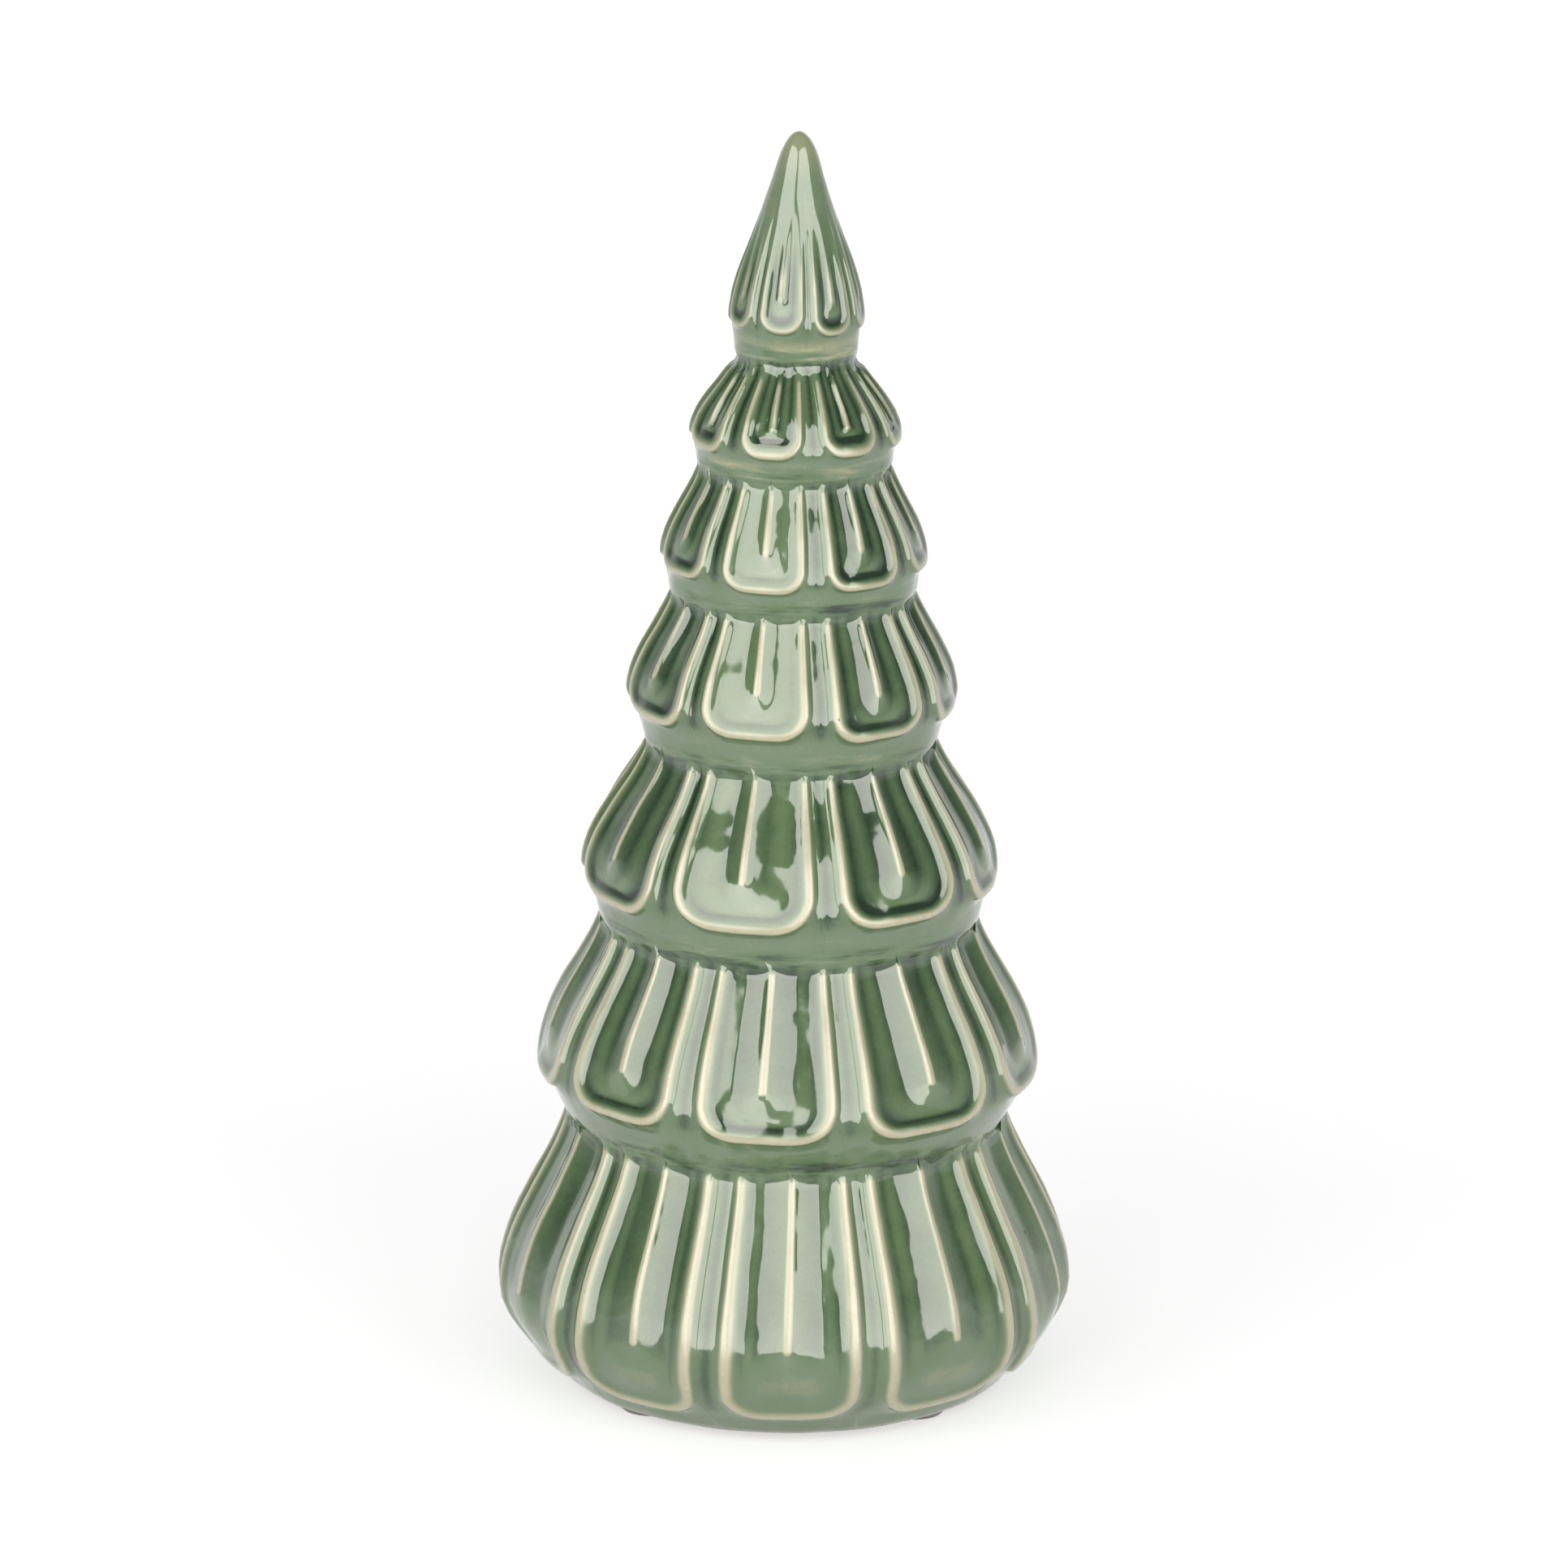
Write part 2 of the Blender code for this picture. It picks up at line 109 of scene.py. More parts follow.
class LeafSizes(bpy.types.PropertyGroup):
    """The leaves' relief. What differs between tiers is listed from the foot up."""

    counts: IntVectorProperty(name="Leaves", description="Leaves round each tier", size=TIERS,
                              default=(10, 9, 8, 8, 8, 8, 8))
    turn: angle("Turn", "Azimuth of each tier's front groove", (20.7, 16.7, 9.3, 9.3, 9.3, 9.3, 9.3))
    phase: angle("Phase", "Phase of the grooves' wander", (-107, -95, 27, 27, 27, 27, 27))
    leaf_drop: length(
        "Leaf drop", "How far the leaves run on below the rim", (11, 1.5, 1.6, 1.9, 0.6, 0.4, 0.6))
    relief: quantity("Relief", "How full each tier's relief is", (1, 1, 1, 0.95, 0.8, 0.7, 0.55))
    relief_start: length(
        "Relief start", "Where the fields begin to sink, down from the neck or tip", (0, 0, 0, 0, 0, 0, 12.5))
    relief_rise: length("Relief rise", "Length over which the fields sink", (2, 2, 2, 2, 2, 1.5, 13))
    bead_start: length(
        "Bead start", "Where the ridges and ribs begin, down from the neck or tip", (0, 0, 0, 0, 0, 1.9, 0))
    leaf_gap: length(
        "Leaf gap", "Space between the ridges of two leaves", (6.2, 5.8, 5.3, 4.8, 4.5, 4.2, 2.3))
    corner_share: quantity(
        "Corner share", "Corner radius by half a leaf's width", (0.56, 0.56, 0.56, 0.56, 0.56, 0.7, 0.9))
    ridge_foot: length("Ridge foot", "Width of a ridge's outer side, towards the groove",
                       (1.8, 1.5, 1.4, 1.4, 1.4, 1.4, 1.4))
    ridge_flank: length(
        "Ridge flank", "Width of a ridge's inner side, towards the rib", (2.8, 2.5, 2.4, 2.4, 2.4, 2.4, 2.4))
    scoop: quantity("Scoop", "How much wider a ridge's inner side is at the leaf's bottom",
                    (0, 0, 0, 0, 0.1, 0.55, 0.2))
    field_face: angle(
        "Field face", "How far the flat fields face out from their leaf's middle", (0, 0, 6, 2, 6, -3, 0))
    field_twist: angle(
        "Field twist", "How far both fields of a leaf face to the right", (-5, 2.2, 3, 0, 4, 0, 0))
    rib_space: length("Rib space", "Space between the end of a rib and the end of its leaf",
                      (14.2, 8.4, 8.3, 7.9, 6.7, 4.9, 5.7))
    rib_share: quantity("Rib share", "Width of a rib's flank by half a leaf's width",
                        (0.48, 0.44, 0.34, 0.35, 0.36, 0.24, 0.36))
    rib_tip: length(
        "Rib tip", "Reach of a rib's flank past the end of its crest", (4.6, 4.6, 4.6, 4.3, 3.4, 1.2, 1.9))
    # Painted light: pales the fields below the ribs, standing in for the white table's reflection and fill
    # from below
    rib_halo: quantity(
        "Rib halo", "How much the glaze thins out below the ribs", (0.5, 0.4, 0.4, 0.4, 0.4, 0.4, 0.4))
    # Painted light: the fields of the front leaves are paler where the softboxes' reflection lies on them
    front_thin: quantity("Front thin", "How much less the glaze pools on the front leaf",
                         (0, 0, 0.35, 0.5, 0.55, 0, 0))
    ridge_height: length("Ridge height", "Height of a ridge over the field beside it", 0.8)
    outer_foot_depth: length("Outer foot depth", "Height of a ridge over the groove beside it", 0.8)
    groove_depth: length("Groove depth", "Depth of a full groove", 0.9)
    rib_fade: length("Rib fade", "How far a rib's crest sinks towards its end", 0.4)
    rib_line: length("Rib line", "Half the width of the raised line on a rib's crest", 1.1)
    rib_line_height: length("Rib line height", "Height of the raised line over the rib's flanks", 0.16)
    rib_drop: length("Rib drop", "How far a rib's flanks meet below the ridge's crest", 0.25)
    rim_margin: length("Rim margin", "Full relief past the leaf's end, before it dies out", 1.7)
    fullness: quantity("Fullness", "How full a ridge's rounded section is", 2.0)
    rib_fullness: quantity("Rib fullness", "How full a rib's section is; a low value makes a keel", 1.4)


class GlazeColours(bpy.types.PropertyGroup):
    """Colours of the glaze from its thinnest to its thickest, and of the bare materials."""

    crest: colour("Crest", "Cream where the glaze breaks thin over a raised line", (0.63, 0.58, 0.40))
    edge: colour("Edge", "Tan green beside a raised line", (0.36, 0.38, 0.22))
    band: colour("Band", "Mid green of the smooth bands", (0.185, 0.265, 0.150))
    field: colour("Field", "Olive green of a leaf's field", (0.150, 0.230, 0.105))
    channel: colour("Channel", "Green of a channel", (0.075, 0.135, 0.062))
    pool: colour("Pool", "Dark green where the glaze pools", (0.018, 0.042, 0.019))
    tip: colour("Tip", "Yellow green of the worn tip", (0.36, 0.39, 0.23))
    clay: colour("Clay", "Bare fired clay", (0.52, 0.42, 0.30))
    felt: colour("Felt", "Grey wool felt", (0.40, 0.38, 0.35))


class StudioSettings(bpy.types.PropertyGroup):
    """The photograph's camera and the plain soft light."""

    elevation: angle("Elevation", "Height of the camera's view over the horizon", 16)
    distance: length("Distance", "Distance from the camera to the middle of the tree", 1150)
    aim_height: length("Aim height", "Height that the camera aims at", 96.9)
    roll: angle("Roll", "Roll of the camera", 0.76)
    lens: quantity("Lens", "Focal length on a sensor 36 mm wide", 167.5, "CAMERA")
    softbox_level: quantity("Softbox level", "Radiance of the softboxes as light", 1.35)
    mirror_level: quantity("Mirror level", "Radiance of the softboxes in reflections", 5.0)
    room_level: quantity("Room level", "Radiance of the plain grey room", 0.4)


# Node trees

def on_one(operation):
    """A method that does a math operation on a rule alone."""
    return lambda rule: rule.combine(operation, rule)


def on_two(operation):
    """A method that does a math operation on a rule and another term, in this order."""
    return lambda rule, other: rule.combine(operation, rule, other)


class Rule:
    """An output in a node tree, so that rules for numbers can be written as plain arithmetic."""

    def __init__(self, tree, socket):
        self.tree = tree
        self.socket = socket

    def combine(self, operation, *terms):
        return add(self.tree, "ShaderNodeMath", dict(enumerate(terms)), operation=operation)

    __add__ = __radd__ = on_two("ADD")
    __sub__ = on_two("SUBTRACT")
    __mul__ = __rmul__ = on_two("MULTIPLY")
    __truediv__ = on_two("DIVIDE")
    __pow__ = on_two("POWER")
    most = on_two("MAXIMUM")
    above = on_two("GREATER_THAN")
    wrapped = on_two("FLOORED_MODULO")
    sine = on_one("SINE")
    cosine = on_one("COSINE")
    size = on_one("ABSOLUTE")
    sign = on_one("SIGN")
    floor = on_one("FLOOR")
    rounded = on_one("ROUND")

    def __rsub__(self, other):
        return self.combine("SUBTRACT", other, self)

    def __rtruediv__(self, other):
        return self.combine("DIVIDE", other, self)

    def clamped(self):
        return self.combine("MINIMUM", self.most(0.0), 1.0)

    def smooth(self, low, high):
        """0 up to low, 1 from high on, and a smooth rise between."""
        return add(self.tree, "ShaderNodeMapRange", {0: self, 1: low, 2: high},
                   interpolation_type="SMOOTHSTEP")


def mix(first, second, share):
    """The first at share 0, the second at share 1, and a straight blend between."""
    return first + (second - first) * share


def add_node(tree, kind, inputs=None, **settings):
    """Adds a node, sets it, and links or sets its inputs by name or number."""
    node = tree.nodes.new(kind)
    place = len(tree.nodes) - 1
    node.location = (200 * (place // 10), -190 * (place % 10))
    for name, value in settings.items():
        setattr(node, name, value)
    for name, value in (inputs or {}).items():
        if isinstance(value, Rule):
            value = value.socket
        if isinstance(value, bpy.types.NodeSocket):
            tree.links.new(value, node.inputs[name])
        else:
            node.inputs[name].default_value = value
    return node


def add(tree, kind, inputs=None, output=0, **settings):
    """Adds a node and gives one of its outputs."""
    return Rule(tree, add_node(tree, kind, inputs, **settings).outputs[output])


def split(tree, vector):
    """The three parts of a vector."""
    return [Rule(tree, part) for part in add_node(tree, "ShaderNodeSeparateXYZ", {0: vector}).outputs]


def off_axis(tree, position):
    """How far a position lies from the upright axis."""
    across, along, _ = split(tree, position)
    return (across ** 2 + along ** 2) ** 0.5


def geometry_tree(name, inputs):
    """A geometry node tree with the inputs by name and kind, and with geometry in and out."""
    tree = bpy.data.node_groups.new(name, "GeometryNodeTree")
    for label, kind in {"Geometry": "Geometry", **inputs}.items():
        tree.interface.new_socket(name=label, in_out="INPUT", socket_type="NodeSocket" + kind)
    tree.interface.new_socket(name="Geometry", in_out="OUTPUT", socket_type="NodeSocketGeometry")
    return tree, add_node(tree, "NodeGroupInput").outputs


def end_tree(tree, geometry, material):
    """Every tree ends in Realize Instances and Set Material."""
    real = add(tree, "GeometryNodeRealizeInstances", {"Geometry": geometry})
    done = add(tree, "GeometryNodeSetMaterial", {"Geometry": real, "Material": material})
    add_node(tree, "NodeGroupOutput", {0: done})


def add_object(name, data):
    made = bpy.data.objects.new(name, data)
    bpy.context.scene.collection.objects.link(made)
    return made


def run_tree(tree, name, mesh, values):
    """The plain mesh that the tree makes of the given one."""
    carrier = add_object(name, mesh)
    modifier = carrier.modifiers.new(name, "NODES")
    modifier.node_group = tree
    for item in tree.interface.items_tree:
        if item.in_out == "INPUT" and item.name in values:
            modifier[item.identifier] = values[item.name]
    bpy.context.view_layer.update()
    evaluated = carrier.evaluated_get(bpy.context.evaluated_depsgraph_get())
    made = bpy.data.meshes.new_from_object(evaluated)
    bpy.data.objects.remove(carrier)
    bpy.data.meshes.remove(mesh)
    return made


# The tree's outline

OUTLINE_STEPS = 120
# The powers say how far each part of a tier bulges
FLANK_POWER = 1.44
UNDERSIDE_POWER = 1.5
BELLY_POWER = 1.85
BUD_POWER = (0.56, 1.58)


def tier_outline(sizes, level, foot):
    """Radii and heights down one tier, from the neck or tip on top, over the rim, to the neck below."""
    down = np.linspace(0, 1, OUTLINE_STEPS)
    neck_radius = sizes.neck_radii[level]
    rim_radius = sizes.rim_radii[level]
    foot_radius = sizes.neck_radii[level - 1] if level else sizes.foot_radius
    rim = foot + sizes.rim_rises[level]
    if neck_radius == 0:
        flank_down = down ** 2
        share = np.sin(flank_down * pi / 2) ** (BUD_POWER[0] + BUD_POWER[1] * flank_down)
    else:
        flank_down = down
        share = np.sin(down * pi / 2) ** FLANK_POWER
    under_power = UNDERSIDE_POWER if level else BELLY_POWER
    flank = (neck_radius + (rim_radius - neck_radius) * share,
             foot + sizes.heights[level] - flank_down * (sizes.heights[level] - sizes.rim_rises[level]))
    under = (rim_radius - (rim_radius - foot_radius) * down ** under_power, rim - down * (rim - foot))
    return np.array([np.concatenate([upper, lower[1:]]) for upper, lower in zip(flank, under)])


def soften_necks(outline, necks, reach):
    """Averages the outline over a window that opens up to reach in the middle of each neck."""
    runs = np.concatenate([[0], np.cumsum(np.hypot(*np.diff(outline)))])
    window = np.zeros(len(runs))
    for neck in necks:
        window = np.maximum(window, reach - np.abs(runs - runs[neck]))
    wide = window > 0
    made = []
    for values in outline:
        areas = np.concatenate([[0], np.cumsum(np.diff(runs) * (values[1:] + values[:-1]) / 2)])
        soft = values.copy()
        low, high = (runs - window)[wide], (runs + window)[wide]
        soft[wide] = (np.interp(high, runs, areas) - np.interp(low, runs, areas)) / (2 * window[wide])
        made.append(soft)
    return np.array(made)


def tree_outlines(sizes):
    """Each tier's outline as its radii and heights, from the foot up, with the necks softened."""
    foot = sizes.foot_height
    tiers = []
    for level, height in enumerate(sizes.heights):
        tiers.append(tier_outline(sizes, level, foot))
        foot += height
    down = tiers[::-1]
    steps = 2 * OUTLINE_STEPS - 2
    whole = np.hstack([down[0]] + [tier[:, 1:] for tier in down[1:]])
    whole = soften_necks(whole, [steps * k for k in range(1, TIERS)], sizes.neck_fillet)
    return [whole[:, steps * k:steps * (k + 1) + 1] for k in reversed(range(TIERS))]


# The ring of leaves

# The ring's inputs: every leaf size but the counts, and what a tier's outline gives
SIZE_INPUTS = [name.replace("_", " ").title() for name in LeafSizes.__annotations__ if name != "counts"]
NUMBER_INPUTS = (*SIZE_INPUTS, "Rim Run", "Rim Radius", "Top Run", "Seam Space", "Side Closeness")
COUNT_INPUTS = ("Leaves", "Level", "Side Columns", "Seed")

# Each leaf's grid, with the counts for one half of the U
BEND_COLUMNS, FLAT_COLUMNS = 10, 4
BORDER_ROWS, RIDGE_ROWS, FIELD_ROWS, RIB_ROWS = 4, 10, 4, 9
RIB_CLOSENESS = 1.7

# The sections of the relief
BEAD_POWER = 1.6
BEAD_RISE = 1.6 * MM
RELIEF_WIDTH_POWER = 0.7
RIB_LINE_POWER = 4
RIB_FADE_POWER = 3
FIELD_EASE = 0.35
LEAST_RAISED = 0.6

# The hand of the carver: nothing repeats exactly. Each step turns a sine from one leaf or tier to the next
GROOVE_STEP, GROOVE_WANDER = radians(75), radians(2.3)
SWAY_STEP, GROOVE_SWAY = 2.1, radians(0.9)
CUT_STEP, CUT_MEAN, CUT_WANDER = 1.9, 0.92, 0.12
END_STEP, END_TIER_STEP, END_WANDER = 1.7, 2.3, 0.5 * MM
RIB_END_STEP, RIB_END_WANDER = 2.9, 0.6 * MM
LEAN_STEP, LEAN_TIER_STEP, RIB_LEAN = 2.3, 1.1, radians(1.4)
HAND_SCALE = 130.0
HAND_DEPTH = 0.4 * MM
TIP_REACH = 2.5 * MM
MERGE = 0.002 * MM

# Where the glaze pools, as shares of its thickest, with the painted light that pales some fields and the
# reach of the necks' pooling and painted shade
FIELD_POOL = 0.78
MIDDLE_THIN = 0.36
RIB_THIN = 0.35
BOTTOM_POOL = 0.35
# Painted light: the fields grow paler from just above the rim to below it, for the white table's reflection
# on surfaces that face down
BELOW_RIM_START = 0.55
BELOW_RIM_END = 8 * MM
BELOW_RIM_PAINTED_LIGHT = 0.85
GROOVE_POOL = 0.9
RIDGE_FOOT_POOL = 0.35
GROOVE_POOL_BLUR = 1.5 * MM
# Painted light below the ribs reaches this share of the way into the field
RIB_PAINTED_LIGHT_REACH = 0.8
# Painted light on the front leaves fades in between these cosines of a leaf's azimuth
FRONT_PAINTED_LIGHT_COSINES = (0.87, 0.96)
NECK_POOL_AND_SHADE = 2.4 * MM


def plain(label):
    """An input's label as a plain name."""
    return label.lower().replace(" ", "_")


class LeafRing:
    """The rules of one ring of leaves, as fields on a grid for each leaf.

    A grid's columns follow the U from the top of its left side to the top of its right side. Its rows go
    from the groove, or from the neck below, over the ridge and through the field to the crest of the rib.
    """

    def __init__(self):
        inputs = {**dict.fromkeys(NUMBER_INPUTS, "Float"), **dict.fromkeys(COUNT_INPUTS, "Int")}
        self.tree, self.given = geometry_tree("leaf_ring", {**inputs, "Glaze": "Material"})
        for label in inputs:
            setattr(self, plain(label), Rule(self.tree, self.given[label]))
        self.curve = self.rule("GeometryNodeMeshToCurve", {"Mesh": self.given["Geometry"]})
        whole = self.rule("GeometryNodeCurveLength", {"Curve": self.curve})
        self.stop = whole - self.seam_space
        self.end = self.rim_run + self.leaf_drop
        self.margin = self.end + self.rim_margin * self.relief
        self.ring = self.lay_grids()
        self.count_leaf()
        self.walk_columns()
        self.walk_rows()
        self.shape_leaf()
        self.place()
        self.sink()
        self.pool_glaze()
        self.finish()

    def rule(self, kind, inputs=None, output=0, **settings):
        return add(self.tree, kind, inputs, output, **settings)

    def lay_grids(self):
        """One flat grid for each leaf, all in one place, that know their leaf's number."""
        self.columns = (self.side_columns + (BEND_COLUMNS + FLAT_COLUMNS)) * 2
        self.rows = BORDER_ROWS + RIDGE_ROWS + FIELD_ROWS + RIB_ROWS
        grid = self.rule("GeometryNodeMeshGrid", {
            "Size X": 1.0, "Size Y": 1.0, "Vertices X": self.columns + 1, "Vertices Y": self.rows + 1})
        points = self.rule("GeometryNodePoints", {"Count": self.leaves})
        points = self.store(points, "leaf", self.rule("GeometryNodeInputIndex"))
        laid = self.rule("GeometryNodeInstanceOnPoints", {"Points": points, "Instance": grid})
        return self.rule("GeometryNodeRealizeInstances", {"Geometry": laid})

    def store(self, geometry, name, value):
        return self.rule("GeometryNodeStoreNamedAttribute",
                         {"Geometry": geometry, "Name": name, "Value": value})

    def groove(self, leaf, number):
        """A groove's azimuth halfway down, and how far it sways over its length."""
        wander = (number * GROOVE_STEP + self.phase).sine() * GROOVE_WANDER
        sway = (number * SWAY_STEP + self.level).sine() * GROOVE_SWAY
        return self.turn + leaf * (2 * pi) / self.leaves + wander, sway

    def cut(self, number):
        """How deep a groove is cut, as a share of a full groove."""
        return CUT_MEAN - (number * CUT_STEP).cosine() * CUT_WANDER

    def count_leaf(self):
        """The leaf's number, counted from the front with the seam at the back, and its two grooves."""
        leaf = self.rule("GeometryNodeInputNamedAttribute", {"Name": "leaf"})
        back = (self.leaves / 2).floor()
        self.number = leaf - back
        self.next_number = (leaf + 1).wrapped(self.leaves) - back
        left, left_sway = self.groove(self.number, self.number)
        right, right_sway = self.groove(self.number + 1, self.next_number)
        self.middle = (left + right) / 2
        self.middle_sway = (left_sway + right_sway) / 2
        self.spread = (right - left) / 2
        self.spread_sway = (right_sway - left_sway) / 2
        self.tone = self.rule("FunctionNodeRandomValue", {2: 0.0, 3: 1.0, 7: leaf, 8: self.seed}, 1,
                              data_type="FLOAT")

    def walk_columns(self):
        """Where a column lies on the U: on its flat bottom, in its bend or on its side."""
        across, along, _ = split(self.tree, self.rule("GeometryNodeInputPosition"))
        self.across_rows = (along + 0.5) * self.rows
        column = across * self.columns
        self.hand = column.rounded().sign()
        from_middle = column.size()
        self.flat = (from_middle / FLAT_COLUMNS).clamped()
        self.bend = ((from_middle - FLAT_COLUMNS) / BEND_COLUMNS).clamped()
        side = ((from_middle - (FLAT_COLUMNS + BEND_COLUMNS)) / self.side_columns).clamped()
        self.down = (1 - side) ** self.side_closeness
        turn = (1 - self.bend) * (pi / 2)
        self.turn_cosine = turn.cosine()
        self.turn_sine = turn.sine()

    def walk_rows(self):
        """Where a row lies across the leaf: in the groove, over the ridge, in the field or on the rib."""
        row = self.across_rows
        self.from_groove = (row / BORDER_ROWS).clamped()
        self.over_ridge = ((row - BORDER_ROWS) / RIDGE_ROWS).clamped()
        self.in_field = ((row - (BORDER_ROWS + RIDGE_ROWS)) / FIELD_ROWS).clamped()
        on_rib = ((row - (BORDER_ROWS + RIDGE_ROWS + FIELD_ROWS)) / RIB_ROWS).clamped()
        self.inside = self.over_ridge.above(0.5)
        flank = self.ridge_flank * (1 + self.scoop * self.turn_sine)
        foot = mix(self.ridge_foot, flank, self.inside) * self.relief ** RELIEF_WIDTH_POWER
        self.ridge_offset = foot * (1 - self.over_ridge * 2)
        self.ridge = self.bead((self.over_ridge * 2 - 1).size(), self.fullness)
        self.off_rib = (1 - on_rib) ** RIB_CLOSENESS
        self.rib = self.bead(self.off_rib, self.rib_fullness)

    def bead(self, offset, fullness):
        """A rounded section: 1 on the crest and 0 at the foot."""
        return (1 - offset ** fullness) ** BEAD_POWER

    def shape_leaf(self):
        """The azimuth off the leaf's middle, and the run, of each point."""
        half = (self.spread + self.spread_sway * 0.5) * self.rim_radius - self.leaf_gap / 2
        self.half_turn = half / self.rim_radius
        corner = self.corner_share * half
        wander = (self.number * END_STEP + self.level * END_TIER_STEP).sine()
        end = self.end + wander * (self.relief * END_WANDER)
        rib_wander = (self.number * RIB_END_STEP).sine()
        rib_stop = end - self.rib_space + rib_wander * (self.relief * RIB_END_WANDER)
        self.rib_offset = self.off_rib * self.rib_share * half
        mean_half = pi / self.leaves * self.rim_radius - self.leaf_gap / 2
        border_bottom = self.end - self.corner_share * mean_half
        ridge_run = (mix(self.top_run, end - corner, self.down)
                     + (corner + self.ridge_offset) * self.turn_sine)
        rib_run = mix(self.top_run, rib_stop, self.down) + self.off_rib * self.rib_tip * self.turn_sine
        border_run = mix(self.top_run, border_bottom, self.down)
        border_run = border_run + (self.stop - border_bottom) * ((1 - self.bend) * 2).clamped()
        across = ((half - corner) * self.flat + corner * self.turn_cosine) / self.rim_radius
        corner_turn = (half - corner) / self.rim_radius
        spread = self.spread + self.spread_sway * (border_run / self.end - 0.5)
        border_turn = corner_turn * self.flat + (spread - corner_turn) * (self.bend * 2).clamped()
        self.off_middle = mix(border_turn, across, self.from_groove) * (1 - self.in_field)
        self.run = mix(mix(border_run, ridge_run, self.from_groove), rib_run, self.in_field)
        self.lean = (self.number * LEAN_STEP + self.level * LEAN_TIER_STEP).sine() * RIB_LEAN * self.in_field

    def place(self):
        """Each point's azimuth, and the outline's radius, height and outward direction there."""
        sample = add_node(self.tree, "GeometryNodeSampleCurve", {"Curves": self.curve, "Length": self.run},
                          mode="LENGTH").outputs
        self.radius, _, self.height = split(self.tree, sample["Position"])
        down_radius, _, down_height = split(self.tree, sample["Tangent"])
        self.out_radius, self.out_height = down_height * -1.0, down_radius
        share = self.run / self.end
        ridge_turn = self.ridge_offset * self.from_groove / self.rim_radius
        self.flat_field = self.field_depth(ridge_turn)
        beside = mix(ridge_turn, self.rib_offset / self.rim_radius, self.in_field) * self.turn_cosine
        self.azimuth = (self.middle + self.middle_sway * (share - 0.5)
                        + self.hand * (self.off_middle + beside) + self.lean * share)

    def field_depth(self, ridge_turn):
        """How far a flat field lies below its outer edge, where it leaves the round of the outline."""
        outer = self.half_turn + ridge_turn
        here = mix(outer, self.half_turn * self.rib_share, self.in_field)
        face = self.field_face + self.field_twist * self.hand * self.turn_cosine
        return self.radius * (outer - here) * ((outer + here) / 2 - face) * (1 - self.turn_sine * FIELD_EASE)

    def sink(self):
        """The depth of each point below the outline, and how far it is raised over its leaf."""
        up = self.run.smooth(self.relief_start, self.relief_start + self.relief_rise)
        out = 1 - self.run.smooth(self.margin, self.stop)
        self.band = 1 - out
        self.full = up * out
        beads = self.run.smooth(self.bead_start, self.bead_start + BEAD_RISE)
        ridge, rib = self.ridge * beads, self.rib * beads
        self.cut_here = mix(self.cut(self.number), self.cut(self.next_number), self.hand.above(0.0))
        self.off_groove = self.from_groove.smooth(0.0, 1.0)
        base = mix(self.groove_depth * self.cut_here, self.outer_foot_depth, self.off_groove)
        base = base + (self.ridge_height - self.outer_foot_depth) * self.inside
        base = base + self.flat_field * self.inside / self.relief
        line = (1 - (self.rib_offset / self.rib_line) ** RIB_LINE_POWER).most(0.0)
        line = line * self.rib.above(0.0) * beads
        depth = base * (1 - ridge.most(rib)) - self.rib_line_height * line
        depth = depth + (self.rib_drop + self.rib_fade * self.down ** RIB_FADE_POWER) * rib
        self.depth = depth * self.full * self.relief
        self.raised = ridge.most(line) * self.full * (LEAST_RAISED + self.relief * (1 - LEAST_RAISED))

    def pool_glaze(self):
        """Where the glaze pools in the fields and grooves, paled by painted light, and gathers darker in the
        necks' creases with painted shade.
        """
        in_middle = (self.in_field * pi).sine()
        field_pool_and_painted_light = (FIELD_POOL - in_middle * MIDDLE_THIN - self.rib * RIB_THIN
                      + self.turn_sine * (1 - self.in_field) * BOTTOM_POOL)
        # Painted light: the fields grow paler towards and below the rim, standing in for the white table's
        # reflection
        below_rim = self.run.smooth(self.rim_run - self.leaf_drop * BELOW_RIM_START,
                                    self.rim_run + BELOW_RIM_END)
        # Painted light: the front leaves' fields are paler where the softboxes' reflection lies, and the
        # fields below the ribs are paler for the white table's fill from below
        at_front = self.middle.cosine().smooth(*FRONT_PAINTED_LIGHT_COSINES)
        rib_halo = self.turn_sine * self.in_field.smooth(0.0, RIB_PAINTED_LIGHT_REACH) * self.rib_halo
        field_pool_and_painted_light = field_pool_and_painted_light * (1 - below_rim * BELOW_RIM_PAINTED_LIGHT)
        field_pool_and_painted_light = field_pool_and_painted_light * (1 - self.front_thin * at_front) - rib_halo
        past_end = self.run.smooth(self.end - GROOVE_POOL_BLUR, self.end + GROOVE_POOL_BLUR)
        groove_pool = mix(self.cut_here * GROOVE_POOL, RIDGE_FOOT_POOL, self.off_groove) * (1 - past_end)
        # The pool attribute is real pooling less the painted light above
        self.pool = mix(groove_pool, field_pool_and_painted_light, self.inside) * (1 - self.ridge) * self.full
        # Darker glaze in the necks' creases: real pooling, and partly painted shade under the tier above
        under_neck = (1 - self.run.smooth(0.0, NECK_POOL_AND_SHADE)) * self.top_run.above(0.0)
        over_neck = self.run.smooth(self.stop - NECK_POOL_AND_SHADE, self.stop) * self.level.above(0.0)
        self.crease = under_neck.most(over_neck)

